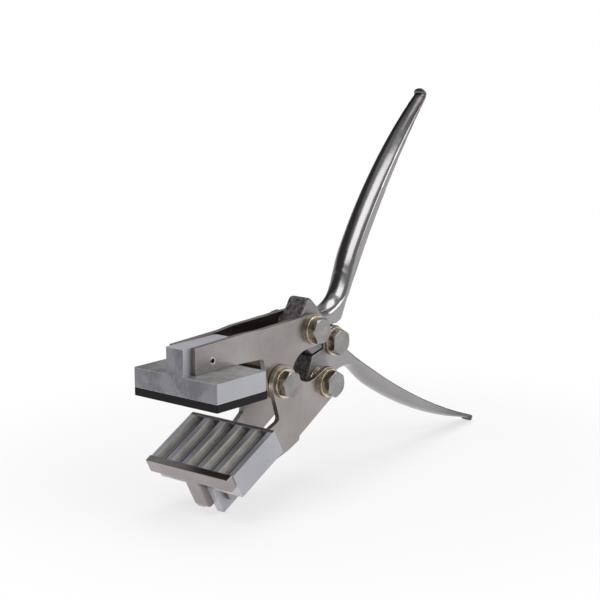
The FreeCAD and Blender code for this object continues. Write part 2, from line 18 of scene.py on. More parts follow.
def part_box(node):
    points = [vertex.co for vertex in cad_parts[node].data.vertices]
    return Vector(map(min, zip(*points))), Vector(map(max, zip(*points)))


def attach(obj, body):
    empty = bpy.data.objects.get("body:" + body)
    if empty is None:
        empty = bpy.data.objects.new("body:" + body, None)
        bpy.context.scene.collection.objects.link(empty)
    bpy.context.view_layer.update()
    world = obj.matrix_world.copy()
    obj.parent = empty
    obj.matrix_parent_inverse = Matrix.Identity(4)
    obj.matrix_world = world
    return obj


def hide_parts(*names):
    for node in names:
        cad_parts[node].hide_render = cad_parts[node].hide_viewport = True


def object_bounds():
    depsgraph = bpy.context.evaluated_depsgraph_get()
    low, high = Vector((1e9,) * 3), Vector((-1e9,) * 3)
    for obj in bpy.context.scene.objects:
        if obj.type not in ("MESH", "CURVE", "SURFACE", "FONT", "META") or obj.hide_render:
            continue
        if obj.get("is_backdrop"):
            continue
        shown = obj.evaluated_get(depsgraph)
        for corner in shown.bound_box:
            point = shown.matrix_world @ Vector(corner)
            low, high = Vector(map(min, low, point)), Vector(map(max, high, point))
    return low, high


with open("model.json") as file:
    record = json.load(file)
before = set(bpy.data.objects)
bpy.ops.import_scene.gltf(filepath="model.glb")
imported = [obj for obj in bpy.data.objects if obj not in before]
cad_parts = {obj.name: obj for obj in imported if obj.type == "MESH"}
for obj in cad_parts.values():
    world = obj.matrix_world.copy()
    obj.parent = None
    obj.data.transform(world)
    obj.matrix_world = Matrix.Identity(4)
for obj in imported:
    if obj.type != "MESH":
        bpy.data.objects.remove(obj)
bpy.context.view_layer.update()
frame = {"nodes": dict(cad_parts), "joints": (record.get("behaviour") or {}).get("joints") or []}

MM = 0.001
joints = {joint["name"]: joint for joint in frame["joints"]}
JAW_PIVOT = Vector(joints["jaw_pivot"]["pos_m"])
UPPER_PIVOT = Vector(joints["upper_handle_pivot"]["pos_m"])
LOWER_PIVOT = Vector(joints["lower_handle_pivot"]["pos_m"])

# %% [markdown]
# ## The view
# The photograph was taken from in front and to the left, from well back with a long lens, a little
# above the tool. The camera looks at a point just behind the jaw pivot. Turning it by a third of a
# degree levels it as in the photograph.

# %% Camera
AZIMUTH = math.radians(-49.55)
ELEVATION = math.radians(11.57)
DISTANCE = 948.0 * MM
LOOK_AT = JAW_PIVOT + Vector((29.47, 0.0, 38.07)) * MM
ROLL = math.radians(-0.307)
LENS = 105.73


def make_camera():
    back = Vector((math.sin(AZIMUTH) * math.cos(ELEVATION), -math.cos(AZIMUTH) * math.cos(ELEVATION),
                   math.sin(ELEVATION)))
    right = Vector((0, 0, 1)).cross(back).normalized()
    up = back.cross(right)
    turned_right = right * math.cos(ROLL) + up * math.sin(ROLL)
    turned_up = up * math.cos(ROLL) - right * math.sin(ROLL)
    turn = Matrix((turned_right, turned_up, back)).transposed().to_4x4()
    data = bpy.data.cameras.new("camera")
    data.lens = LENS
    data.sensor_width = 36.0
    data.sensor_fit = "HORIZONTAL"
    data.clip_start = 0.01
    data.clip_end = 50.0
    camera = bpy.data.objects.new("camera", data)
    camera.matrix_world = Matrix.Translation(LOOK_AT + back * DISTANCE) @ turn
    bpy.context.scene.collection.objects.link(camera)
    bpy.context.scene.camera = camera
    return camera


camera = make_camera()
print("camera at", [round(v, 4) for v in camera.location])

# %% [markdown]
# ## Small helpers for node trees
# A material or a geometry tree is a list of nodes and wires. These helpers keep each tree short:
# `add` makes a node with its settings, `wire` joins two sockets, `ramp` is a smooth step between
# two limits, and `mix_colour` blends two colours by a mask.

# %% Node helpers


def add(tree, kind, **settings):
    node = tree.nodes.new(kind)
    for name, value in settings.items():
        setattr(node, name, value)
    return node


def wire(tree, source, target):
    tree.links.new(source, target)


def math_node(tree, operation, first, second=None, clamp=False):
    """A Math node; an input is a socket or a number."""
    node = add(tree, "ShaderNodeMath", operation=operation, use_clamp=clamp)
    for index, value in enumerate((first, second)):
        if value is None:
            continue
        if isinstance(value, (int, float)):
            node.inputs[index].default_value = value
        else:
            wire(tree, value, node.inputs[index])
    return node.outputs[0]


def times(tree, first, second):
    """The product of two sockets or numbers."""
    return math_node(tree, "MULTIPLY", first, second)


def reach_along(tree, vector, direction):
    """How far a vector reaches along a direction."""
    node = add(tree, "ShaderNodeVectorMath", operation="DOT_PRODUCT")
    wire(tree, vector, node.inputs[0])
    node.inputs[1].default_value = direction
    return node.outputs["Value"]


def mix_colour(tree, factor, first, second):
    """A colour Mix node; each input is a socket or a colour."""
    node = add(tree, "ShaderNodeMix", data_type="RGBA")
    for index, value in ((0, factor), (6, first), (7, second)):
        if hasattr(value, "links"):
            wire(tree, value, node.inputs[index])
        elif index == 0:
            node.inputs[index].default_value = value
        else:
            node.inputs[index].default_value = (*value, 1.0)
    return node.outputs[2]


def ramp(tree, value, low, high, to_low=0.0, to_high=1.0):
    """A smooth step of a value between two limits."""
    node = add(tree, "ShaderNodeMapRange", interpolation_type="SMOOTHSTEP")
    wire(tree, value, node.inputs[0])
    for index, number in ((1, low), (2, high), (3, to_low), (4, to_high)):
        node.inputs[index].default_value = number
    return node.outputs[0]


def new_group(name, inputs, outputs):
    """A shader node group with named sockets."""
    tree = bpy.data.node_groups.new(name, "ShaderNodeTree")
    for label, kind, value in inputs:
        socket = tree.interface.new_socket(name=label, in_out="INPUT", socket_type=kind)
        socket.default_value = value
    for label, kind in outputs:
        tree.interface.new_socket(name=label, in_out="OUTPUT", socket_type=kind)
    return tree, add(tree, "NodeGroupInput"), add(tree, "NodeGroupOutput")


def noise(tree, vector, scale, detail=4.0, roughness=0.55):
    node = add(tree, "ShaderNodeTexNoise")
    wire(tree, vector, node.inputs["Vector"])
    if isinstance(scale, (int, float)):
        node.inputs["Scale"].default_value = scale
    else:
        wire(tree, scale, node.inputs["Scale"])
    node.inputs["Detail"].default_value = detail
    node.inputs["Roughness"].default_value = roughness
    return node.outputs["Fac"]


print("helpers ready")

# %% [markdown]
# ## Effects that several finishes share
# *Edge wear*: plating and castings go bright and smooth along their edges. The Bevel node gives the
# normal of a rounded edge, and where it leaves the true normal we are near an edge.
# *Brushing*: grinding leaves fine parallel scratches. Noise that is stretched along one direction
# looks like them, and the direction is an input, because each piece was ground its own way.
# *Handling*: a slow, cloudy change of tone, as fingers, oil and light dust leave it.
# Each effect is built once, as a node group, and each finish uses it with its own values.

# %% Edge wear group


def make_edge_group():
    tree, inside, outside = new_group(
        "edge wear",
        [("Width", "NodeSocketFloat", 0.0008), ("Breakup", "NodeSocketFloat", 0.5)],
        [("Mask", "NodeSocketFloat")])
    bevel = add(tree, "ShaderNodeBevel", samples=6)
    wire(tree, inside.outputs["Width"], bevel.inputs["Radius"])
    geometry = add(tree, "ShaderNodeNewGeometry")
    dot = add(tree, "ShaderNodeVectorMath", operation="DOT_PRODUCT")
    wire(tree, bevel.outputs[0], dot.inputs[0])
    wire(tree, geometry.outputs["Normal"], dot.inputs[1])
    near = ramp(tree, dot.outputs["Value"], 0.995, 0.90)
    place = add(tree, "ShaderNodeTexCoord")
    specks = noise(tree, place.outputs["Object"], 420.0, 5.0, 0.7)
    broken = ramp(tree, specks, 0.38, 0.62)
    keep = math_node(tree, "SUBTRACT", 1.0, times(tree, broken, inside.outputs["Breakup"]))
    wire(tree, math_node(tree, "MULTIPLY", near, keep, clamp=True), outside.inputs["Mask"])
    return tree


EDGE_WEAR = make_edge_group()
print("built", EDGE_WEAR.name)

# %% Brushing group


def make_brushed_group():
    tree, inside, outside = new_group(
        "brushing",
        [("Across", "NodeSocketVector", (1.0, 1.0, 1.0)), ("Scale", "NodeSocketFloat", 2600.0),
         ("Turn", "NodeSocketFloat", 0.0)],
        [("Lines", "NodeSocketFloat"), ("Height", "NodeSocketFloat")])
    place = add(tree, "ShaderNodeTexCoord")
    turned = add(tree, "ShaderNodeVectorRotate", rotation_type="Y_AXIS")
    wire(tree, place.outputs["Object"], turned.inputs["Vector"])
    wire(tree, inside.outputs["Turn"], turned.inputs["Angle"])
    stretch = add(tree, "ShaderNodeVectorMath", operation="MULTIPLY")
    wire(tree, turned.outputs["Vector"], stretch.inputs[0])
    wire(tree, inside.outputs["Across"], stretch.inputs[1])
    fine = noise(tree, stretch.outputs[0], inside.outputs["Scale"], 3.0, 0.6)
    coarse_scale = times(tree, inside.outputs["Scale"], 0.22)
    coarse = noise(tree, stretch.outputs[0], coarse_scale, 2.0, 0.5)
    both = math_node(tree, "ADD", times(tree, fine, 0.65), times(tree, coarse, 0.35))
    wire(tree, ramp(tree, both, 0.35, 0.65), outside.inputs["Lines"])
    wire(tree, both, outside.inputs["Height"])
    return tree


BRUSHING = make_brushed_group()
print("built", BRUSHING.name)

# %% Handling group


def make_handling_group():
    tree, inside, outside = new_group(
        "handling",
        [("Size", "NodeSocketFloat", 60.0), ("Contrast", "NodeSocketFloat", 0.5)],
        [("Cloud", "NodeSocketFloat"), ("Specks", "NodeSocketFloat")])
    place = add(tree, "ShaderNodeTexCoord")
    slow = noise(tree, place.outputs["Object"], inside.outputs["Size"], 3.0, 0.55)
    low = math_node(tree, "SUBTRACT", slow, 0.5)
    cloud = math_node(tree, "ADD", times(tree, low, inside.outputs["Contrast"]), 0.5)
    wire(tree, cloud, outside.inputs["Cloud"])
    tiny = noise(tree, place.outputs["Object"], 1500.0, 2.0, 0.5)
    wire(tree, ramp(tree, tiny, 0.66, 0.74), outside.inputs["Specks"])
    return tree


HANDLING = make_handling_group()
print("built", HANDLING.name)

# %% [markdown]
# ## The finishes
# Each finish is a Principled shader whose colour, roughness and normal come from the shared
# effects. Plated metals keep a metallic value of 1: what makes them differ is how rough they are,
# which way they were ground, and the tint of their plating. Raw castings and forging skin are
# duller, because their oxide scatters a part of the light, so their metallic value is lower.

# %% Material helpers


def group_node(tree, group, **values):
    node = add(tree, "ShaderNodeGroup", node_tree=group)
    for name, value in values.items():
        node.inputs[name].default_value = value
    return node


def new_material(name):
    material = bpy.data.materials.new(name)
    material.use_nodes = True
    tree = material.node_tree
    shader = tree.nodes["Principled BSDF"]
    return material, tree, shader


def axes(tree, vector):
    """A vector, split into X, Y and Z."""
    split = add(tree, "ShaderNodeSeparateXYZ")
    wire(tree, vector, split.inputs[0])
    return split


def marked(tree, name):
    """A value that the mesh carries."""
    return add(tree, "ShaderNodeAttribute", attribute_name=name).outputs["Fac"]


def bump(tree, shader, height, strength, distance):
    node = add(tree, "ShaderNodeBump")
    node.inputs["Strength"].default_value = strength
    node.inputs["Distance"].default_value = distance
    wire(tree, height, node.inputs["Height"])
    wire(tree, node.outputs[0], shader.inputs["Normal"])


print("material helpers ready")

# %% [markdown]
# ### Cast aluminium
# The upper head and the digit tray are sand castings that were faced on a mill. A casting has a
# fine grain and a cloudy tone, and it turns bright where an edge is rubbed. Milling leaves shallow
# lines, which we add to the height. The faces that look forward take a tone by the way they face:
# on the head they are painted darker than the sides as painted shade, mottled in dirty patches,
# least so towards its two ends; on the tray they are painted paler as painted light. On the head
# the faces that look up are painted darker too, as painted shade, mottled in the same way, but
# hardly on the rib, whose up-facing top lies higher and is paler.
#
# In the tray's slots the side walls are not metallic, so they scatter the light, and they are
# painted pale as painted light. The floors and the end walls are painted dark as painted shade,
# with less of it at the foot of one side wall. Two attributes tell the finish where, one for the
# painted light and one for the painted shade; a piece without them reads zero. The rim behind the
# slots is painted brown as painted shade, with a bright line along its rear edge as painted
# highlight. How far back a point lies is its product with the direction of the slots.

# %% Cast aluminium
SLOT_PITCH = 11.0 * MM
FOOT_START, FOOT_END, FOOT_SHADE = 1.6 * MM, 2.4 * MM, 0.25
ENDS_START, ENDS_END = 14.0 * MM, 29.0 * MM
RIB_START, RIB_END = 80.0 * MM, 88.0 * MM
TRAY_TILT = math.radians(28.3)
SLOTS_WAY = (math.cos(TRAY_TILT), 0.0, math.sin(TRAY_TILT))
TRAY_UP = (-math.sin(TRAY_TILT), 0.0, math.cos(TRAY_TILT))
# The rim behind the slots gets painted shade, and its rear edge a painted highlight.
RIM_START = JAW_PIVOT.dot(Vector(SLOTS_WAY)) - 32.5 * MM
RIM_END = RIM_START + 2.2 * MM
print("stained rim:", round((RIM_END - RIM_START) / MM, 1), "mm wide")


def floor_shade(tree, where, slot_shade):
    """Painted shade in the slots, with less at the foot of the walls that face the near side."""
    across = math_node(tree, "FLOORED_MODULO", where.outputs["Y"], SLOT_PITCH)
    foot = ramp(tree, across, FOOT_START, FOOT_END, 1.0, FOOT_SHADE)
    opposite = ramp(tree, across, SLOT_PITCH / 2, SLOT_PITCH / 2 + 0.01 * MM)
    return times(tree, slot_shade, math_node(tree, "MAXIMUM", foot, opposite))


def rim_shade_and_highlight(tree, place, tone, rim):
    """Painted shade on the rim behind the slots, and a painted highlight along its rear edge."""
    along = reach_along(tree, place.outputs["Object"], SLOTS_WAY)
    upward = reach_along(tree, place.outputs["Normal"], TRAY_UP)
    behind = times(tree, ramp(tree, along, RIM_START, RIM_START + 0.4 * MM),
                   ramp(tree, upward, 0.4, 0.7, 0.0, rim))
    tone = mix_colour(tree, behind, tone, (0.075, 0.060, 0.055))
    rear = times(tree, ramp(tree, along, RIM_END - 0.5 * MM, RIM_END),
                 ramp(tree, upward, 0.2, 0.5, 0.0, rim))
    return mix_colour(tree, rear, tone, (0.46, 0.39, 0.28))


def cast_aluminium(name, metallic, front_low, front_high, top_shade, rim):
    material, tree, shader = new_material(name)
    cloud = group_node(tree, HANDLING, Size=55.0, Contrast=1.1)
    edge = group_node(tree, EDGE_WEAR, Width=0.0009, Breakup=0.6)
    lines = group_node(tree, BRUSHING, Across=(0.08, 1.0, 1.0), Scale=2600.0)
    place = add(tree, "ShaderNodeTexCoord")
    side = axes(tree, place.outputs["Normal"])
    slot_shade = marked(tree, "slot_shade")
    wall_light = marked(tree, "wall_light")
    grain = noise(tree, place.outputs["Object"], 900.0, 5.0, 0.65)
    patches = ramp(tree, noise(tree, place.outputs["Object"], 95.0, 3.0, 0.6), 0.36, 0.60)
    pits = ramp(tree, noise(tree, place.outputs["Object"], 380.0, 2.0, 0.5), 0.30, 0.24)
    tone = mix_colour(tree, cloud.outputs["Cloud"], (0.34, 0.343, 0.375), (0.49, 0.493, 0.530))
    tone = mix_colour(tree, times(tree, grain, 0.30), tone, (0.50, 0.50, 0.53))
    where = axes(tree, place.outputs["Object"])
    # Faces that look forward get painted shade on the head and painted light on the tray, mottled.
    off_middle = math_node(tree, "ABSOLUTE", where.outputs["Y"])
    ends = ramp(tree, off_middle, ENDS_START, ENDS_END, 0.0, 0.75)
    front = ramp(tree, side.outputs["X"], -0.45, -0.80)
    mottle = mix_colour(tree, math_node(tree, "MAXIMUM", patches, ends), front_low, front_high)
    tone = mix_colour(tree, front, tone, mottle)
    # Faces that look up get painted shade on the head, hardly on the rib.
    top = ramp(tree, side.outputs["Z"], 0.45, 0.80, 0.0, top_shade)
    top = times(tree, top, ramp(tree, where.outputs["Z"], RIB_START, RIB_END, 1.0, 0.15))
    shaded_top = mix_colour(tree, patches, (0.23, 0.228, 0.228), (0.36, 0.357, 0.360))
    tone = mix_colour(tree, top, tone, shaded_top)
    crest = times(tree, ramp(tree, side.outputs["Z"], 0.45, 0.80, 0.0, 0.8),
                  ramp(tree, where.outputs["Z"], RIB_START, RIB_END))
    tone = mix_colour(tree, crest, tone, (0.60, 0.605, 0.655))
    # Painted light: the slot side walls are painted pale.
    tone = mix_colour(tree, wall_light, tone,
                      mix_colour(tree, patches, (0.66, 0.615, 0.565), (0.82, 0.785, 0.735)))
    # Painted shade: the slot floors and end walls are painted dark.
    shade_in_slots = floor_shade(tree, where, slot_shade)
    tone = mix_colour(tree, shade_in_slots, tone, (0.060, 0.050, 0.052))
    # Painted shade on the rim, and a painted highlight along its rear edge.
    tone = rim_shade_and_highlight(tree, place, tone, rim)
    tone = mix_colour(tree, times(tree, pits, 0.75), tone, (0.10, 0.10, 0.11))
    wear = times(tree, edge.outputs["Mask"], math_node(tree, "SUBTRACT", 1.0, shade_in_slots))
    tone = mix_colour(tree, times(tree, wear, 0.55), tone, (0.62, 0.62, 0.65))
    wire(tree, tone, shader.inputs["Base Color"])
    wire(tree, math_node(tree, "SUBTRACT", metallic, times(tree, wall_light, metallic)),
         shader.inputs["Metallic"])
    wire(tree, ramp(tree, grain, 0.3, 0.7, 0.40, 0.56), shader.inputs["Roughness"])
    height = math_node(tree, "ADD", times(tree, grain, 0.7),
                       times(tree, lines.outputs["Height"], 0.4))
    height = math_node(tree, "SUBTRACT", height, times(tree, pits, 0.8))
    bump(tree, shader, height, 0.35, 0.00012)
    return material


# %% [markdown]
# ### Nickel plate
# The side plates and the keeper are made of steel that was linished along its length and nickel
# plated. The finish is satin: soft reflections with the finest of lines along the grinding.
# Handling leaves broad, slightly warm clouds. The punched edge of a plate is rougher and its
# plating has a darker, brownish tone; round the jaw pivot it carries a painted yellow reflection
# of the washers there. The machined keeper has no such edge. The inner face of a far plate hardly
# sees any light, and that shade is painted into its colour as a dark brown. The lower pieces
# stand at an angle, so their lines are turned too.

# %% Nickel plate
# The punched edges round the jaw pivot get a painted yellow reflection of the washers.
REFLECTION_START, REFLECTION_END = 12.5 * MM, 10.5 * MM
FAR_SIDE = 4.0 * MM
print("yellow film within", round(REFLECTION_START / MM, 1), "mm of the jaw pivot")


def off_jaw_pivot(tree, place):
    """Distance of a point from the axis of the jaw pivot."""
    arm = add(tree, "ShaderNodeVectorMath", operation="SUBTRACT")
    wire(tree, place.outputs["Object"], arm.inputs[0])
    arm.inputs[1].default_value = JAW_PIVOT
    flat_arm = add(tree, "ShaderNodeVectorMath", operation="MULTIPLY")
    wire(tree, arm.outputs[0], flat_arm.inputs[0])
    flat_arm.inputs[1].default_value = (1.0, 0.0, 1.0)
    length = add(tree, "ShaderNodeVectorMath", operation="LENGTH")
    wire(tree, flat_arm.outputs[0], length.inputs[0])
    return length.outputs["Value"]


def plate_material(name, turn, punched, painted_shade, low, high):
    material, tree, shader = new_material(name)
    cloud = group_node(tree, HANDLING, Size=48.0, Contrast=1.7)
    edge = group_node(tree, EDGE_WEAR, Width=0.0005, Breakup=0.35)
    lines = group_node(tree, BRUSHING, Across=(0.02, 1.0, 1.0), Scale=7000.0, Turn=turn)
    place = add(tree, "ShaderNodeTexCoord")
    side = axes(tree, place.outputs["Normal"])
    where = axes(tree, place.outputs["Object"])
    cut = ramp(tree, math_node(tree, "ABSOLUTE", side.outputs["Y"]), 0.75, 0.35, 0.0, punched)
    warm = ramp(tree, noise(tree, place.outputs["Object"], 85.0, 2.0, 0.5), 0.42, 0.62)
    tone = mix_colour(tree, cloud.outputs["Cloud"], low, high)
    tone = mix_colour(tree, times(tree, warm, 0.30), tone, (0.34, 0.275, 0.26))
    tone = mix_colour(tree, times(tree, lines.outputs["Lines"], 0.04), tone, (0.42, 0.405, 0.40))
    tone = mix_colour(tree, cut, tone, (0.250, 0.225, 0.205))
    # Painted reflection: the washers' yellow on the punched edges round the jaw pivot.
    washer_reflection = times(tree, cut, ramp(tree, off_jaw_pivot(tree, place), REFLECTION_START, REFLECTION_END, 0.0, 0.8))
    tone = mix_colour(tree, washer_reflection, tone, (0.56, 0.48, 0.34))
    # Painted shade on the inner face of a far plate.
    inner = times(tree, ramp(tree, side.outputs["Y"], -0.60, -0.90),
                  ramp(tree, where.outputs["Y"], 0.0, FAR_SIDE, 0.0, painted_shade))
    tone = mix_colour(tree, inner, tone, (0.105, 0.078, 0.068))
    tone = mix_colour(tree, times(tree, edge.outputs["Mask"], 0.40), tone, (0.52, 0.49, 0.46))
    wire(tree, tone, shader.inputs["Base Color"])
    shader.inputs["Metallic"].default_value = 1.0
    rough = math_node(tree, "ADD", times(tree, lines.outputs["Lines"], 0.02), 0.27)
    rough = math_node(tree, "ADD", rough, times(tree, cut, 0.12))
    wire(tree, rough, shader.inputs["Roughness"])
    bump(tree, shader, lines.outputs["Height"], 0.04, 0.00003)
    return material


# %% [markdown]
# ### Polished nickel with a forged root
# The handles are drop forgings. The grips were polished and plated, so they show sharp bands of
# light and dark, and towards the tip the polish is darker. Round the pivots nobody polished: there
# the dark, rough skin of the forging shows under the plating, and its oxide scatters light instead
# of mirroring it. Three vertex attributes tell the finish where: *forged* for the rough zone,
# *ground* for the flat flanks in it that were machined bright again, and *dull* for the tip. They
# are worked out when the handles are made.

# %% Polished nickel


def polished_nickel(turn_name, turn):
    material, tree, shader = new_material("polished_nickel" + turn_name)
    forged = marked(tree, "forged")
    flat = marked(tree, "ground")
    place = add(tree, "ShaderNodeTexCoord")
    cloud = group_node(tree, HANDLING, Size=45.0, Contrast=0.9)
    edge = group_node(tree, EDGE_WEAR, Width=0.0005, Breakup=0.0)
    lines = group_node(tree, BRUSHING, Across=(0.03, 1.0, 1.0), Scale=1500.0, Turn=turn)
    scale = noise(tree, place.outputs["Object"], 520.0, 6.0, 0.7)
    tone = mix_colour(tree, cloud.outputs["Cloud"], (0.290, 0.280, 0.282), (0.365, 0.355, 0.357))
    skin = mix_colour(tree, ramp(tree, scale, 0.40, 0.64), (0.028, 0.025, 0.027),
                      (0.165, 0.150, 0.155))
    bare = mix_colour(tree, cloud.outputs["Cloud"], (0.20, 0.188, 0.19), (0.30, 0.285, 0.29))
    skin = mix_colour(tree, flat, skin, bare)
    dull = marked(tree, "dull")
    tone = mix_colour(tree, times(tree, dull, 0.80), tone, (0.090, 0.082, 0.090))
    tone = mix_colour(tree, forged, tone, skin)
    tone = mix_colour(tree, times(tree, edge.outputs["Mask"], 0.35), tone, (0.60, 0.59, 0.585))
    wire(tree, tone, shader.inputs["Base Color"])
    oxide = times(tree, forged,
                  math_node(tree, "SUBTRACT", 1.0, flat))
    wire(tree, math_node(tree, "SUBTRACT", 1.0, times(tree, oxide, 0.75)),
         shader.inputs["Metallic"])
    polish = math_node(tree, "ADD", times(tree, lines.outputs["Lines"], 0.05), 0.17)
    skin_rough = math_node(tree, "ADD", times(tree, scale, 0.25), 0.34)
    rough = add(tree, "ShaderNodeMix", data_type="FLOAT")
    wire(tree, forged, rough.inputs[0])
    wire(tree, polish, rough.inputs[2])
    wire(tree, skin_rough, rough.inputs[3])
    wire(tree, rough.outputs[0], shader.inputs["Roughness"])
    wave = noise(tree, place.outputs["Object"], 130.0, 1.0, 0.4)
    height = math_node(tree, "ADD", times(tree, scale, forged),
                       times(tree, wave, 0.35))
    height = math_node(tree, "ADD", height, times(tree, lines.outputs["Height"], 0.006))
    bump(tree, shader, height, 0.6, 0.00045)
    return material


# %% [markdown]
# ### Zinc plating on the bolts and washers
# The bolts are bright zinc, a cool grey; the sides of the hexagon carry warm painted reflections
# and painted shade in patches. The rolled pins are of bright spring steel, and the same recipe
# makes them with paler tones.
# washers are yellow zinc: a thin passivated film whose colour drifts from straw to a brownish grey.

# %% Zinc platings


def bolt_zinc(name, low, high, flank_low, flank_high):
    material, tree, shader = new_material(name)
    cloud = group_node(tree, HANDLING, Size=160.0, Contrast=1.5)
    edge = group_node(tree, EDGE_WEAR, Width=0.0005, Breakup=0.3)
    place = add(tree, "ShaderNodeTexCoord")
    side = axes(tree, place.outputs["Normal"])
    # The sides of the hexagon get painted reflections and painted shade in patches.
    flank = ramp(tree, math_node(tree, "ABSOLUTE", side.outputs["Y"]), 0.8, 0.3)
    fine = noise(tree, place.outputs["Object"], 1400.0, 4.0, 0.6)
    tone = mix_colour(tree, cloud.outputs["Cloud"], low, high)
    reflection_patches = ramp(tree, noise(tree, place.outputs["Object"], 210.0, 2.0, 0.5), 0.40, 0.62)
    side_tone = mix_colour(tree, reflection_patches, flank_low, flank_high)
    tone = mix_colour(tree, times(tree, flank, 0.9), tone, side_tone)
    tone = mix_colour(tree, times(tree, edge.outputs["Mask"], 0.45), tone, (0.56, 0.52, 0.46))
    wire(tree, tone, shader.inputs["Base Color"])
    shader.inputs["Metallic"].default_value = 1.0
    wire(tree, ramp(tree, fine, 0.3, 0.7, 0.26, 0.42), shader.inputs["Roughness"])
    bump(tree, shader, fine, 0.25, 0.00006)
    return material


def yellow_zinc():
    material, tree, shader = new_material("yellow_zinc")
    cloud = group_node(tree, HANDLING, Size=260.0, Contrast=2.2)
    edge = group_node(tree, EDGE_WEAR, Width=0.0004, Breakup=0.4)
    place = add(tree, "ShaderNodeTexCoord")
    drift = ramp(tree, noise(tree, place.outputs["Object"], 190.0, 2.0, 0.5), 0.42, 0.60)
    fine = noise(tree, place.outputs["Object"], 1200.0, 3.0, 0.6)
    tone = mix_colour(tree, cloud.outputs["Cloud"], (0.36, 0.29, 0.17), (0.82, 0.74, 0.56))
    tone = mix_colour(tree, times(tree, drift, 0.35), tone, (0.36, 0.30, 0.26))
    tone = mix_colour(tree, times(tree, edge.outputs["Mask"], 0.5), tone, (0.74, 0.68, 0.54))
    wire(tree, tone, shader.inputs["Base Color"])
    shader.inputs["Metallic"].default_value = 1.0
    wire(tree, ramp(tree, fine, 0.3, 0.7, 0.18, 0.32), shader.inputs["Roughness"])
    bump(tree, shader, fine, 0.2, 0.00005)
    return material


# %% [markdown]
# ### Black rubber
# The pad that backs the ear is a sheet of moulded rubber. Rubber isn't quite black: it has a dull
# sheen, a faint bloom along its edges and a fine grain from the mould.

# %% Black rubber


def black_rubber():
    material, tree, shader = new_material("black_rubber")
    cloud = group_node(tree, HANDLING, Size=70.0, Contrast=1.2)
    edge = group_node(tree, EDGE_WEAR, Width=0.0007, Breakup=0.8)
    place = add(tree, "ShaderNodeTexCoord")
    grain = noise(tree, place.outputs["Object"], 1600.0, 4.0, 0.65)
    tone = mix_colour(tree, cloud.outputs["Cloud"], (0.0056, 0.0034, 0.0039),
                      (0.0124, 0.0083, 0.0094))
    tone = mix_colour(tree, times(tree, cloud.outputs["Specks"], 0.4), tone,
                      (0.0310, 0.0250, 0.0275))
    tone = mix_colour(tree, times(tree, edge.outputs["Mask"], 0.4), tone, (0.0279, 0.0218, 0.0248))
    wire(tree, tone, shader.inputs["Base Color"])
    shader.inputs["Specular IOR Level"].default_value = 0.25
    wire(tree, ramp(tree, grain, 0.3, 0.7, 0.60, 0.80), shader.inputs["Roughness"])
    bump(tree, shader, grain, 0.3, 0.00008)
    return material


recipes = (cast_aluminium, plate_material, polished_nickel, bolt_zinc, yellow_zinc, black_rubber)
print("recipes:", [recipe.__name__ for recipe in recipes])

# %% [markdown]
# ### All the finishes
# Now the recipes get their values. Two tones give a finish its darkest and palest patches, and a
# turn lays the grinding lines at the angle at which a piece stands. The castings differ: the head
# gets painted shade on the faces that look forward and up, and the tray's forward faces are
# painted paler as painted light; the tray also carries painted light and shade in its slots and
# painted shade on its rim.

# %% Make the finishes
HALF_OPENING = math.radians(14.15)
GRIP_TILT = HALF_OPENING + math.radians(41.4)
MATERIALS = {
    "head_casting": cast_aluminium("cast_aluminium_head", 0.75, (0.180, 0.176, 0.198),
                                   (0.272, 0.268, 0.295), 1.0, 0.0),
    "tray_casting": cast_aluminium("cast_aluminium_tray", 0.55, (0.460, 0.440, 0.475),
                                   (0.660, 0.640, 0.670), 0.0, 0.9),
    "upper_plate": plate_material("nickel_plate_upper", 0.0, 0.8, 0.85, (0.225, 0.212, 0.208),
                                  (0.385, 0.366, 0.363)),
    "lower_plate": plate_material("nickel_plate_lower", TRAY_TILT, 0.8, 0.15, (0.240, 0.222, 0.214),
                                  (0.400, 0.374, 0.364)),
    "keeper": plate_material("nickel_keeper", TRAY_TILT, 0.0, 0.0, (0.280, 0.255, 0.252),
                             (0.440, 0.405, 0.400)),
    "upper_grip": polished_nickel("_upper", GRIP_TILT),
    "lower_grip": polished_nickel("_lower", TRAY_TILT - GRIP_TILT),
    "bolt_steel": bolt_zinc("bolt_steel", (0.190, 0.180, 0.180), (0.390, 0.374, 0.372),
                            (0.120, 0.100, 0.085), (0.420, 0.365, 0.300)),
    "pin_steel": bolt_zinc("pin_steel", (0.620, 0.600, 0.570), (0.850, 0.830, 0.800),
                           (0.450, 0.410, 0.360), (0.700, 0.660, 0.600)),
    "yellow_zinc": yellow_zinc(),
    "black_rubber": black_rubber(),
}
print("finishes:", sorted(MATERIALS))

# %% [markdown]
# ## Dressing a rigid piece
# A construction mesh is a heap of loose triangles with knife-sharp edges. We copy it, merge its
# doubles, join the triangles of each flat face again, and let a Bevel modifier round every edge.
# A rounded edge catches the light, and that fine bright line is what makes a piece look solid.
# Weighted normals keep the large faces flat. The result is baked into a plain mesh.

# %% Dressing helpers
SAME_PLACE = 0.002 * MM


def merged(name):
    """The construction mesh of a node as one connected mesh."""
    work = bmesh.new()
    work.from_mesh(frame["nodes"][name].data)
    bmesh.ops.remove_doubles(work, verts=work.verts[:], dist=SAME_PLACE)
    bmesh.ops.dissolve_limit(work, angle_limit=math.radians(0.4), verts=work.verts[:],
                             edges=work.edges[:], use_dissolve_boundaries=False)
    return work


def linked(name, data):
    """A new object of the scene."""
    piece = bpy.data.objects.new(name, data)
    bpy.context.scene.collection.objects.link(piece)
    return piece


def new_piece(name, work):
    mesh = bpy.data.meshes.new(name)
    work.to_mesh(mesh)
    work.free()
    return linked(name, mesh)


def smooth_faces(piece):
    for polygon in piece.data.polygons:
        polygon.use_smooth = True


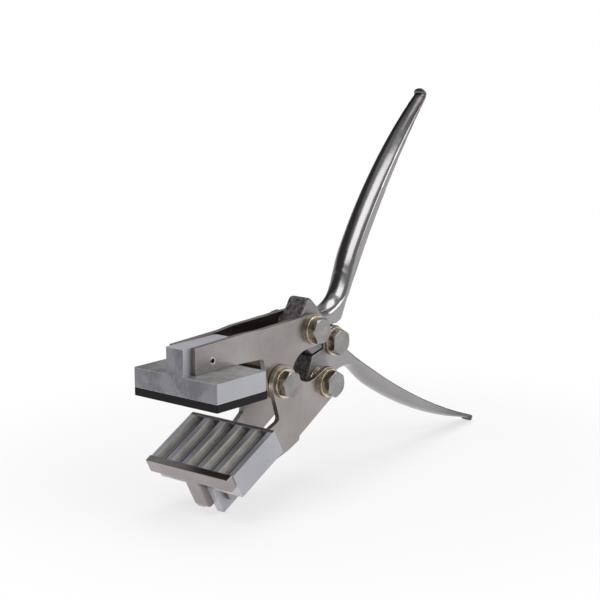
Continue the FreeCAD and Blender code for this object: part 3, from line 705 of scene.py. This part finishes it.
def baked(piece):
    """Turn a piece with live modifiers into a plain mesh."""
    bpy.context.view_layer.update()
    evaluated = piece.evaluated_get(bpy.context.evaluated_depsgraph_get())
    mesh = bpy.data.meshes.new_from_object(evaluated)
    mesh.name = piece.name
    piece.modifiers.clear()
    piece.data = mesh
    return piece


def finish_piece(piece, body, nodes, material):
    piece.data.materials.clear()
    piece.data.materials.append(MATERIALS[material])
    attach(piece, body)
    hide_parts(*nodes)
    return piece


def rounded(piece, width, segments):
    """Round every sharp edge of a piece and bake it."""
    smooth_faces(piece)
    bevel = piece.modifiers.new("edges", "BEVEL")
    bevel.width = width
    bevel.segments = segments
    bevel.limit_method = "ANGLE"
    bevel.angle_limit = math.radians(28.0)
    bevel.use_clamp_overlap = True
    weighted = piece.modifiers.new("normals", "WEIGHTED_NORMAL")
    weighted.keep_sharp = False
    weighted.weight = 60
    return baked(piece)


def dress(name, body, width, segments, material, slot):
    piece = rounded(new_piece(name + "_dressed", merged(name)), width, segments)
    return finish_piece(piece, body, [name], material)


print("dressing helpers ready")

# %% [markdown]
# ## Castings, plates, keeper and pins
# Castings get generous edges, because sand and tumbling soften them. The punched plates get a small
# one. The rolled pins are bright spring steel, and the sleeve is plated like the washers.

# %% Dress the castings and plates
PIECES = [
    ("upper_head", "upper_jaw", 0.45 * MM, 3, "head_casting", "cast_aluminium"),
    ("digit_tray", "lower_jaw", 0.28 * MM, 2, "tray_casting", "cast_aluminium"),
    ("upper_near_plate", "upper_jaw", 0.25 * MM, 2, "upper_plate", "nickel_plate"),
    ("upper_far_plate", "upper_jaw", 0.25 * MM, 2, "upper_plate", "nickel_plate"),
    ("lower_near_plate", "lower_jaw", 0.25 * MM, 2, "lower_plate", "nickel_plate"),
    ("lower_far_plate", "lower_jaw", 0.25 * MM, 2, "lower_plate", "nickel_plate"),
    ("digit_keeper", "keeper", 0.40 * MM, 3, "keeper", "nickel_plate"),
    ("rubber_pad", "upper_jaw", 0.30 * MM, 2, "black_rubber", "black_rubber"),
    ("upper_head_pin", "upper_jaw", 0.20 * MM, 2, "pin_steel", "bolt_steel"),
    ("lower_head_pin", "lower_jaw", 0.20 * MM, 2, "pin_steel", "bolt_steel"),
    ("jaw_spacer_sleeve", "upper_jaw", 0.20 * MM, 2, "yellow_zinc", "yellow_zinc"),
]
dressed = {}
for row in PIECES:
    piece = dress(*row)
    dressed[row[0]] = piece
    print(piece.name, len(piece.data.polygons), "faces")

# %% [markdown]
# The tray still needs to know its slots. We turn each face back to where the tray lies level, with
# the jaw pivot as the origin, and read its height: below the top it belongs to a slot. A floor or
# an end wall gets painted shade, and the two side walls get painted light.

# %% Slots of the tray
SLOT_TOP = -3.6 * MM
SLOT_FLOOR = -7.6 * MM
SLOT_END = -32.4 * MM
TRAY_SIDE, TRAY_FRONT = 27.5 * MM, -66.0 * MM


def mark_slots(piece):
    level = Matrix.Rotation(TRAY_TILT, 3, "Y")
    slot_shade = piece.data.attributes.new("slot_shade", "FLOAT", "FACE")
    wall_light = piece.data.attributes.new("wall_light", "FLOAT", "FACE")
    for index, face in enumerate(piece.data.polygons):
        middle = level @ (face.center - JAW_PIVOT)
        normal = level @ face.normal
        inside = SLOT_FLOOR - 0.2 * MM < middle.z < SLOT_TOP - 0.25 * MM
        outside = abs(middle.y) > TRAY_SIDE or middle.x < TRAY_FRONT
        if inside and not outside and middle.x < SLOT_END + 1.5 * MM:
            # Side walls get painted light; floors and end walls get painted shade.
            if abs(normal.y) > 0.8:
                wall_light.data[index].value = 1.0
            else:
                slot_shade.data[index].value = 0.75
    return sum(1 for item in slot_shade.data if item.value), sum(1 for item in wall_light.data if item.value)


print("dirty and rubbed faces:", mark_slots(dressed["digit_tray"]))

# %% [markdown]
# ## The handles
# A forging has no sharp edge anywhere, and its surfaces flow into each other. To get that, we
# rebuild the handle's skin as an even grid with a Remesh modifier and relax it a little. The grid
# also gives the polish smooth reflections. Places on a handle are measured along the line that
# halves the open jaws, and off that line on the handle's own side.

# %% Measures of a handle
LINK_ALONG = 52.0 * MM
FORGED_START, FORGED_END = 41.0 * MM, 46.5 * MM
ROOT_HALF = 6.5 * MM
TIP_DULL = 118.0 * MM
TIP_SOFT = 160.0 * MM
TIP_FULL = 164.0 * MM


def along_and_off(point, side):
    """Place of a point along the halving line, and off it on the handle's own side."""
    away = point - JAW_PIVOT
    along = away.x * math.cos(HALF_OPENING) + away.z * math.sin(HALF_OPENING)
    off = away.z * math.cos(HALF_OPENING) - away.x * math.sin(HALF_OPENING)
    return along, off * side


def smooth_step(value, low, high):
    share = min(1.0, max(0.0, (value - low) / (high - low)))
    return share * share * (3.0 - 2.0 * share)


print("upper pivot:", [round(v / MM, 2) for v in along_and_off(UPPER_PIVOT, 1.0)], "mm")

# %% [markdown]
# ### The crown of the valley
# The back of a grip is crowned, like a flat barrel. On the real handle the crown runs on through
# the valley where the grip springs from the root. The construction leaves the valley flat across
# its width, so we sink its sides. A polished surface shows every kink, so the line of the back is
# eased by a wide moving average as well.

# %% Crown of the valley
CROWN_RADIUS = 9.6 * MM
PROFILE_STEP = 0.25 * MM
FLOW_STEPS = 34
VALLEY_START, VALLEY_END = 42.0 * MM, 104.0 * MM
MIDDLE_BAND = 0.3 * MM
BACK_FROM, MOVED_FROM = 8.0 * MM, 6.0 * MM
BLEND_IN, BLEND_IN_LENGTH = 44.5 * MM, 5.0 * MM
BLEND_OUT, BLEND_OUT_LENGTH = 98.0 * MM, 14.0 * MM
WIDEST = 6.6 * MM
CELL_WIDTH = 0.5 * MM
CELL_COLUMNS = int(WIDEST / CELL_WIDTH) + 1
SIDE_START, SIDE_LENGTH = 4.5 * MM, 1.5 * MM
SKIN_DEPTH = 5.0 * MM


def crown_valley(mesh, side):
    """Round the valley's bottom across its width as the grip's crown does, and ease its profile.

    The profile of the back is read from the points on the middle plane and eased by a wide moving
    average. Each point gets its depth below the eased line. Where the skin lies, by its distance
    from the middle plane, is averaged over small cells, and the points near it are moved from there
    to where a crowned back would be. A second run takes up what the first one leaves over.
    """
    places = np.array([(*along_and_off(vertex.co, side), vertex.co.y) for vertex in mesh.vertices])
    normals = np.array([(*along_and_off(vertex.normal + JAW_PIVOT, side), vertex.normal.y)
                        for vertex in mesh.vertices])
    inside = (places[:, 0] > VALLEY_START) & (places[:, 0] < VALLEY_END)
    back = (inside & (abs(places[:, 2]) < MIDDLE_BAND) & (normals[:, 1] > 0.25)
            & (places[:, 1] > BACK_FROM))
    line = places[back][np.argsort(places[back, 0])][:, :2]
    steps = np.arange(line[0, 0], line[-1, 0], PROFILE_STEP)
    height = np.interp(steps, line[:, 0], line[:, 1])
    window = np.hanning(2 * FLOW_STEPS + 3)[1:-1]
    eased = np.convolve(np.pad(height, FLOW_STEPS, "reflect", reflect_type="odd"),
                        window / window.sum(), "valid")
    slope = np.gradient(eased, steps)
    out = np.stack((-slope, np.ones_like(slope)), 1) / np.hypot(slope, 1.0)[:, None]
    chosen = np.nonzero(inside & (places[:, 1] > MOVED_FROM))[0]
    away = places[chosen, None, :2] - np.stack((steps, eased), 1)[None]
    nearest = np.argmin((away ** 2).sum(2), 1)
    depth = -(away[np.arange(len(chosen)), nearest] * out[nearest]).sum(1)
    wide = np.minimum(abs(places[chosen, 2]), WIDEST)
    rows, columns = nearest // 2, (wide / CELL_WIDTH).astype(int)
    skin_points = (normals[chosen, :2] * out[nearest]).sum(1) > 0.4
    total, count = np.zeros((2, len(steps) // 2 + 1, CELL_COLUMNS))
    np.add.at(total, (rows[skin_points], columns[skin_points]), depth[skin_points])
    np.add.at(count, (rows[skin_points], columns[skin_points]), 1.0)
    soften = np.hanning(9)[1:-1]
    total, count = (np.apply_along_axis(np.convolve, 0, grid, soften, "same")
                    for grid in (total, count))
    skin = total / np.maximum(count, 0.001)
    own, middle = skin[rows, columns], skin[rows, 0]
    missing = CROWN_RADIUS - np.sqrt(CROWN_RADIUS ** 2 - wide ** 2) - (own - middle)
    inner = 1.0 - np.clip((wide - SIDE_START) / SIDE_LENGTH, 0.0, 1.0)
    need = np.where(missing > 0.0, missing, missing * inner) - middle
    fade = np.clip((depth - own) / SKIN_DEPTH, 0.0, 1.0)
    at = steps[nearest]
    share = (np.clip((at - BLEND_IN) / BLEND_IN_LENGTH, 0.0, 1.0)
             * np.clip((BLEND_OUT - at) / BLEND_OUT_LENGTH, 0.0, 1.0))
    move = need * (1.0 - fade * fade * (3.0 - 2.0 * fade)) * share * share * (3.0 - 2.0 * share)
    cosine, sine = math.cos(HALF_OPENING), math.sin(HALF_OPENING)
    for index, amount, direction in zip(chosen, move, out[nearest]):
        if amount != 0.0:
            u, v = -amount * direction[0], -amount * direction[1] * side
            mesh.vertices[index].co.x += u * cosine - v * sine
            mesh.vertices[index].co.z += u * sine + v * cosine
    return int((abs(move) > 0.05 * MM).sum())


print("the back's line is eased over", round(2 * FLOW_STEPS * PROFILE_STEP / MM, 1), "mm")

# %% [markdown]
# ### Soft places and the skin
# Round the knuckle, in the valley and at the tip the forging is softest, so two more Smooth
# modifiers work there, led by vertex groups. The first also works on the grip, at a lower weight,
# and keeps off the pivots, whose holes must stay round. Smoothing shrinks what it rounds, so at the
# tip most of that loss is taken back and only the creases stay filled. At last each point gets the
# values that its finish reads.

# %% Handles
SOFT_FROM, SOFT_TO, SOFT_FADE = 44.0 * MM, 74.0 * MM, 10.0 * MM
KNUCKLE_FROM, KNUCKLE_TO = 22.0 * MM, 26.0 * MM
PIVOT_CLEAR, PIVOT_FULL, LINK_FULL = 9.5 * MM, 13.0 * MM, 12.0 * MM
GRIP_SOFT = 0.45
GRID = 0.42 * MM
TIP_SHRINK = 0.25


def soft_places(piece, pivot, side):
    """Vertex groups that lead the Smooth modifiers: the soft places and the tip."""
    soft = piece.vertex_groups.new(name="soft")
    tip = piece.vertex_groups.new(name="tip")
    for index, vertex in enumerate(piece.data.vertices):
        along, off = along_and_off(vertex.co, side)
        away = math.hypot(vertex.co.x - pivot.x, vertex.co.z - pivot.z)
        linked = math.hypot(along - LINK_ALONG, off)
        weight = smooth_step(along, SOFT_FROM - 4.0 * MM, SOFT_FROM)
        weight = max(weight, smooth_step(off, KNUCKLE_FROM, KNUCKLE_TO))
        weight *= 1.0 - smooth_step(along, SOFT_TO, SOFT_TO + SOFT_FADE)
        weight *= (smooth_step(away, PIVOT_CLEAR, PIVOT_FULL)
                   * smooth_step(linked, PIVOT_CLEAR, LINK_FULL))
        weight = max(weight, GRIP_SOFT * smooth_step(along, SOFT_TO, SOFT_TO + SOFT_FADE))
        if weight > 0.0:
            soft.add([index], weight, "REPLACE")
        if along > TIP_SOFT:
            tip.add([index], smooth_step(along, TIP_SOFT, TIP_FULL), "REPLACE")


def mark_skin(mesh, side):
    """Write down where the skin is forged, ground and dull."""
    forged = mesh.attributes.new("forged", "FLOAT", "POINT")
    ground = mesh.attributes.new("ground", "FLOAT", "POINT")
    dull = mesh.attributes.new("dull", "FLOAT", "POINT")
    for index, vertex in enumerate(mesh.vertices):
        along = along_and_off(vertex.co, side)[0]
        forged.data[index].value = 1.0 - smooth_step(along, FORGED_START, FORGED_END)
        dull.data[index].value = smooth_step(along, TIP_DULL, TIP_FULL)
        ground.data[index].value = 1.0 if abs(vertex.co.y) > ROOT_HALF - 0.25 * MM else 0.0


def smoother(piece, name, iterations, group=""):
    """A Smooth modifier, led by a vertex group where one is named."""
    modifier = piece.modifiers.new(name, "SMOOTH")
    modifier.factor = 0.5
    modifier.iterations = iterations
    modifier.vertex_group = group


def handle_piece(name, body, pivot, material, side):
    piece = new_piece(name + "_dressed", merged(name))
    remesh = piece.modifiers.new("skin", "REMESH")
    remesh.mode = "VOXEL"
    remesh.voxel_size = GRID
    smoother(piece, "relax", 7)
    baked(piece)
    for _ in range(2):
        print("crowned", crown_valley(piece.data, side), "points of", name)
        piece.data.update()
    soft_places(piece, pivot, side)
    smoother(piece, "flow", 45, "soft")
    smoother(piece, "melt", 120, "tip")
    before = [(vertex.co.copy(), vertex.normal.copy()) for vertex in piece.data.vertices]
    baked(piece)
    mesh = piece.data
    for vertex, (place, normal) in zip(mesh.vertices, before):
        moved = vertex.co - place
        if moved.dot(normal) < 0.0 and along_and_off(place, side)[0] > TIP_SOFT:
            vertex.co = place + moved * TIP_SHRINK
    smooth_faces(piece)
    mark_skin(mesh, side)
    return finish_piece(piece, body, [name], material)


for row in (("upper_handle", "upper_grip", UPPER_PIVOT, "upper_grip", 1.0),
            ("lower_handle", "lower_grip", LOWER_PIVOT, "lower_grip", -1.0)):
    piece = handle_piece(*row)
    print(piece.name, len(piece.data.polygons), "faces")

# %% [markdown]
# ## Bolts and nuts
# The bolts come from the construction with their hexagons already turned at the corners. Behind the
# nut a bolt shows its thread. There we take the shank down to the root of the thread, so that the
# ridge, which we add next, ends at the bolt's real diameter.

# %% Bolts and nuts
BOLT_RADIUS = 4.0 * MM
THREAD_DEPTH = 0.55 * MM
HEXAGON_EDGE = 0.22 * MM
PIVOTS = [("jaw_pivot", "lower_jaw"), ("lower_handle", "lower_jaw"), ("upper_handle", "upper_jaw"),
          ("handle_link", "lower_grip")]
thread_ends = {}
for pivot, body in PIVOTS:
    low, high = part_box(pivot + "_nut")
    axis_x, axis_z = (low[0] + high[0]) / 2, (low[2] + high[2]) / 2
    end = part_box(pivot + "_bolt")[1][1]
    work = merged(pivot + "_bolt")
    for vertex in work.verts:
        away = math.hypot(vertex.co.x - axis_x, vertex.co.z - axis_z)
        if vertex.co.y > high[1] - 0.1 * MM and away > BOLT_RADIUS - THREAD_DEPTH:
            shrink = (BOLT_RADIUS - THREAD_DEPTH) / away
            vertex.co.x = axis_x + (vertex.co.x - axis_x) * shrink
            vertex.co.z = axis_z + (vertex.co.z - axis_z) * shrink
    piece = rounded(new_piece(pivot + "_bolt_dressed", work), HEXAGON_EDGE, 2)
    finish_piece(piece, body, [pivot + "_bolt"], "bolt_steel")
    dress(pivot + "_nut", body, HEXAGON_EDGE, 2, "bolt_steel", "bolt_steel")
    thread_ends.setdefault(body, []).append((axis_x, high[1], axis_z, end))
    print(pivot, "bolt ends", round((end - high[1]) / MM, 2), "mm behind its nut")

# %% [markdown]
# ## Geometry Nodes for what repeats
# Two small trees make the repeated parts. Each gets points, one for every copy, as a bare mesh,
# puts a copy on each, realizes the instances and gives them their material. Then the result is
# baked, one mesh for each body that moves.

# %% Geometry tree helpers


def new_geometry(name, inputs):
    """A geometry tree with a Geometry input, named sizes and a Geometry output."""
    tree = bpy.data.node_groups.new(name, "GeometryNodeTree")
    tree.interface.new_socket(name="Geometry", in_out="INPUT", socket_type="NodeSocketGeometry")
    for label, kind, value in inputs:
        socket = tree.interface.new_socket(name=label, in_out="INPUT", socket_type=kind)
        socket.default_value = value
    tree.interface.new_socket(name="Geometry", in_out="OUTPUT", socket_type="NodeSocketGeometry")
    return tree, add(tree, "NodeGroupInput"), add(tree, "NodeGroupOutput")


def end_tree(tree, geometry, outside, material):
    """Realize the copies and give them their material."""
    real = add(tree, "GeometryNodeRealizeInstances")
    paint = add(tree, "GeometryNodeSetMaterial")
    paint.inputs["Material"].default_value = material
    wire(tree, geometry, real.inputs[0])
    wire(tree, real.outputs[0], paint.inputs["Geometry"])
    wire(tree, paint.outputs[0], outside.inputs[0])


def points_piece(name, places, thicknesses):
    """A bare mesh of points, each with the thickness of its copy."""
    mesh = bpy.data.meshes.new(name)
    mesh.from_pydata(places, [], [])
    layer = mesh.attributes.new("thickness", "FLOAT", "POINT")
    for index, value in enumerate(thicknesses):
        layer.data[index].value = value
    return linked(name, mesh)


def grown(piece, tree, **values):
    """Run a tree on a piece with the given sizes and bake the result."""
    modifier = piece.modifiers.new("grow", "NODES")
    modifier.node_group = tree
    sockets = {item.name: item.identifier for item in tree.interface.items_tree
               if item.item_type == "SOCKET" and item.in_out == "INPUT"}
    for name, value in values.items():
        modifier[sockets[name.replace("_", " ")]] = value
    return baked(piece)


print("geometry helpers ready")

# %% [markdown]
# ### Washers
# A washer is a flat ring with tumbled edges: a rectangle with rounded corners, swept round a
# circle. The construction draws the three washers beside the lower handle as one thick ring, so we
# first measure each ring and then split it into washers of the usual thickness.

# %% Washer tree
WASHER_THICKNESS = 1.5 * MM


def make_washer_tree():
    tree, inside, outside = new_geometry("washers", [
        ("Outer Radius", "NodeSocketFloat", 8.0 * MM),
        ("Inner Radius", "NodeSocketFloat", 4.05 * MM),
        ("Edge", "NodeSocketFloat", 0.25 * MM), ("Segments", "NodeSocketInt", 72)])
    outer, inner = inside.outputs["Outer Radius"], inside.outputs["Inner Radius"]
    circle = add(tree, "GeometryNodeCurvePrimitiveCircle", mode="RADIUS")
    wire(tree, inside.outputs["Segments"], circle.inputs["Resolution"])
    wire(tree, times(tree, math_node(tree, "ADD", outer, inner), 0.5), circle.inputs["Radius"])
    profile = add(tree, "GeometryNodeCurvePrimitiveQuadrilateral", mode="RECTANGLE")
    wire(tree, math_node(tree, "SUBTRACT", outer, inner), profile.inputs["Width"])
    profile.inputs["Height"].default_value = WASHER_THICKNESS
    soft = add(tree, "GeometryNodeFilletCurve", mode="POLY")
    soft.inputs["Count"].default_value = 3
    wire(tree, profile.outputs[0], soft.inputs["Curve"])
    wire(tree, inside.outputs["Edge"], soft.inputs["Radius"])
    sweep = add(tree, "GeometryNodeCurveToMesh")
    wire(tree, circle.outputs[0], sweep.inputs["Curve"])
    wire(tree, soft.outputs[0], sweep.inputs["Profile Curve"])
    stand = add(tree, "GeometryNodeTransform")
    stand.inputs["Rotation"].default_value = (math.radians(90.0), 0.0, 0.0)
    wire(tree, sweep.outputs[0], stand.inputs["Geometry"])
    thick = add(tree, "GeometryNodeInputNamedAttribute", data_type="FLOAT")
    thick.inputs["Name"].default_value = "thickness"
    scale = add(tree, "ShaderNodeCombineXYZ")
    scale.inputs[0].default_value = 1.0
    scale.inputs[2].default_value = 1.0
    wire(tree, math_node(tree, "DIVIDE", thick.outputs["Attribute"], WASHER_THICKNESS),
         scale.inputs[1])
    copies = add(tree, "GeometryNodeInstanceOnPoints")
    wire(tree, inside.outputs["Geometry"], copies.inputs["Points"])
    wire(tree, stand.outputs[0], copies.inputs["Instance"])
    wire(tree, scale.outputs[0], copies.inputs["Scale"])
    end_tree(tree, copies.outputs[0], outside, MATERIALS["yellow_zinc"])
    return tree


WASHERS = make_washer_tree()
print("tree:", WASHERS.name)

# %% Place the washers


def rings_of(node):
    """Middle, near face and far face of each ring in a washer node, from its flat faces."""
    levels = sorted({round(vertex.co.y, 5) for vertex in frame["nodes"][node].data.vertices})
    low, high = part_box(node)
    middle = ((low[0] + high[0]) / 2, (low[2] + high[2]) / 2)
    return [(middle, levels[i], levels[i + 1]) for i in range(0, len(levels) - 1, 2)]


washer_nodes = {}
for pivot, body in PIVOTS:
    washer_nodes.setdefault(body, []).append(pivot + "_washers")
for body, nodes in washer_nodes.items():
    places, thicknesses = [], []
    for node in nodes:
        for middle, near, far in rings_of(node):
            count = max(1, round((far - near) / (WASHER_THICKNESS * 1.05)))
            each = (far - near) / count
            for i in range(count):
                places.append((middle[0], near + each * (i + 0.5), middle[1]))
                thicknesses.append(each)
    piece = grown(points_piece("washers_" + body, places, thicknesses), WASHERS)
    smooth_faces(piece)
    piece.data.set_sharp_from_angle(angle=math.radians(50.0))
    finish_piece(piece, body, nodes, "yellow_zinc")
    print(piece.name, len(places), "washers")

# %% [markdown]
# ### Threads
# A rolled thread is a ridge that climbs round the shank, one pitch for each turn. So its tree
# sweeps a small triangle along a spiral. Only the stretch behind the nut shows, and only that is
# made.

# %% Thread tree


def make_thread_tree():
    tree, inside, outside = new_geometry("threads", [
        ("Radius", "NodeSocketFloat", BOLT_RADIUS), ("Depth", "NodeSocketFloat", THREAD_DEPTH),
        ("Pitch", "NodeSocketFloat", 1.25 * MM), ("Length", "NodeSocketFloat", 1.4 * MM)])
    turns = math_node(tree, "DIVIDE", inside.outputs["Length"], inside.outputs["Pitch"])
    half = times(tree, inside.outputs["Depth"], 0.5)
    spine = math_node(tree, "SUBTRACT", inside.outputs["Radius"], half)
    spiral = add(tree, "GeometryNodeCurveSpiral")
    spiral.inputs["Resolution"].default_value = 48
    wire(tree, turns, spiral.inputs["Rotations"])
    wire(tree, spine, spiral.inputs["Start Radius"])
    wire(tree, spine, spiral.inputs["End Radius"])
    wire(tree, inside.outputs["Length"], spiral.inputs["Height"])
    ridge = add(tree, "GeometryNodeCurvePrimitiveCircle", mode="RADIUS")
    ridge.inputs["Resolution"].default_value = 4
    wire(tree, half, ridge.inputs["Radius"])
    sweep = add(tree, "GeometryNodeCurveToMesh")
    sweep.inputs["Fill Caps"].default_value = True
    wire(tree, spiral.outputs[0], sweep.inputs["Curve"])
    wire(tree, ridge.outputs[0], sweep.inputs["Profile Curve"])
    turn = add(tree, "GeometryNodeTransform")
    turn.inputs["Rotation"].default_value = (math.radians(-90.0), 0.0, 0.0)
    wire(tree, sweep.outputs[0], turn.inputs["Geometry"])
    copies = add(tree, "GeometryNodeInstanceOnPoints")
    wire(tree, inside.outputs["Geometry"], copies.inputs["Points"])
    wire(tree, turn.outputs[0], copies.inputs["Instance"])
    end_tree(tree, copies.outputs[0], outside, MATERIALS["bolt_steel"])
    return tree


THREADS = make_thread_tree()
for body, ends in thread_ends.items():
    places = [(x, y + 0.1 * MM, z) for x, y, z, end in ends]
    shown = min(end - y for x, y, z, end in ends) - 0.5 * MM
    starts = points_piece("threads_" + body, places, [0.0] * len(places))
    piece = grown(starts, THREADS, Length=shown)
    piece.data.materials.clear()
    piece.data.materials.append(MATERIALS["bolt_steel"])
    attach(piece, body)
    print(piece.name, len(piece.data.polygons), "faces")

# %% [markdown]
# ## Floor, world and lamps
# The floor is wide and pale. Close to the tool it is a matt surface that takes the shadow, and
# further out it becomes plain white for everything that looks at it, the camera and polished metal
# alike. The world is a quiet studio: pale at the horizon and grey above. On the far side stands a
# dark screen; polished metal that mirrors it shows the deep bands of the grips. The key lamp stands
# high in front, where the crowned back of a grip mirrors it as one bright line.

# %% Floor
FLOOR_RADIUS = 12.0
SHADOW_NEAR = 0.10
SHADOW_FAR = 0.27
SHADOW_FADE = 0.68


def make_floor():
    work = bmesh.new()
    bmesh.ops.create_circle(work, cap_ends=True, segments=96, radius=FLOOR_RADIUS)
    floor = new_piece("floor", work)
    material, tree, shader = new_material("pale_floor")
    place = add(tree, "ShaderNodeTexCoord")
    size = add(tree, "ShaderNodeVectorMath", operation="LENGTH")
    wire(tree, place.outputs["Object"], size.inputs[0])
    far = ramp(tree, size.outputs["Value"], SHADOW_NEAR, SHADOW_FAR, SHADOW_FADE, 1.0)
    haze = noise(tree, place.outputs["Object"], 3.0, 2.0, 0.5)
    wire(tree, mix_colour(tree, haze, (0.92, 0.92, 0.92), (0.95, 0.95, 0.95)),
         shader.inputs["Base Color"])
    shader.inputs["Roughness"].default_value = 0.9
    shader.inputs["Specular IOR Level"].default_value = 0.1
    white = add(tree, "ShaderNodeEmission")
    white.inputs["Strength"].default_value = 1.0
    path = add(tree, "ShaderNodeLightPath")
    seen = math_node(tree, "MAXIMUM", path.outputs["Is Camera Ray"], path.outputs["Is Glossy Ray"])
    seen = math_node(tree, "MAXIMUM", seen, path.outputs["Is Transmission Ray"])
    mixed = add(tree, "ShaderNodeMixShader")
    wire(tree, times(tree, far, seen), mixed.inputs[0])
    wire(tree, shader.outputs[0], mixed.inputs[1])
    wire(tree, white.outputs[0], mixed.inputs[2])
    wire(tree, mixed.outputs[0], tree.nodes["Material Output"].inputs["Surface"])
    floor.data.materials.append(material)
    floor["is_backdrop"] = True


make_floor()
print("floor radius", FLOOR_RADIUS, "m")

# %% World
WORLD_BANDS = [(0.0, 0.70), (0.50, 0.78), (0.56, 0.62), (0.64, 0.42), (0.80, 0.40), (0.90, 0.48),
               (1.0, 0.55)]
SCREEN_SIDE = (-0.35, 0.94, 0.0)
SCREEN_TONE = (0.075, 0.071, 0.073)


def make_world():
    world = bpy.data.worlds.new("studio")
    world.use_nodes = True
    tree = world.node_tree
    place = add(tree, "ShaderNodeTexCoord")
    split = axes(tree, place.outputs["Generated"])
    height = math_node(tree, "ADD", times(tree, split.outputs["Z"], 0.5), 0.5)
    bands = add(tree, "ShaderNodeValToRGB")
    elements = bands.color_ramp.elements
    for index, (position, value) in enumerate(WORLD_BANDS):
        element = elements[index] if index < 2 else elements.new(position)
        element.position = position
        element.color = (value, value, value, 1.0)
    wire(tree, height, bands.inputs[0])
    toward = reach_along(tree, place.outputs["Generated"], SCREEN_SIDE)
    screen = times(tree, ramp(tree, toward, 0.40, 0.62), ramp(tree, split.outputs["Z"], 0.13, 0.22))
    screen = times(tree, screen, ramp(tree, split.outputs["Z"], 0.72, 0.62))
    tone = mix_colour(tree, screen, bands.outputs[0], SCREEN_TONE)
    wire(tree, tone, tree.nodes["Background"].inputs["Color"])
    tree.nodes["Background"].inputs["Strength"].default_value = 0.8
    bpy.context.scene.world = world
    return world


world = make_world()
print("world:", world.name)

# %% Lamps
LAMPS = [
    ("key", (-0.92, -0.16, 1.22), 1.10, 9.0),
    ("side", (0.60, -1.10, 0.60), 0.80, 6.0),
    ("top", (0.30, 0.25, 1.40), 0.80, 5.0),
]


def make_lamp(name, place, size, power):
    data = bpy.data.lights.new(name, "AREA")
    data.shape = "SQUARE"
    data.size = size
    data.energy = power
    lamp = linked(name, data)
    lamp.location = JAW_PIVOT + Vector(place)
    lamp.rotation_euler = (-Vector(place)).to_track_quat("-Z", "Y").to_euler()
    lamp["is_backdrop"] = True


for row in LAMPS:
    make_lamp(*row)
print(len(LAMPS), "soft lamps")

# %% [markdown]
# ## Last settings and the size
# The view is shown without any film look, so a colour comes out as it was written. At the end the
# box of the dressed tool is printed.

# %% Finish
bpy.context.scene.view_settings.view_transform = "Standard"
bpy.context.view_layer.update()
low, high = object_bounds()
print("dressed box", [round(v, 4) for v in low], [round(v, 4) for v in high])
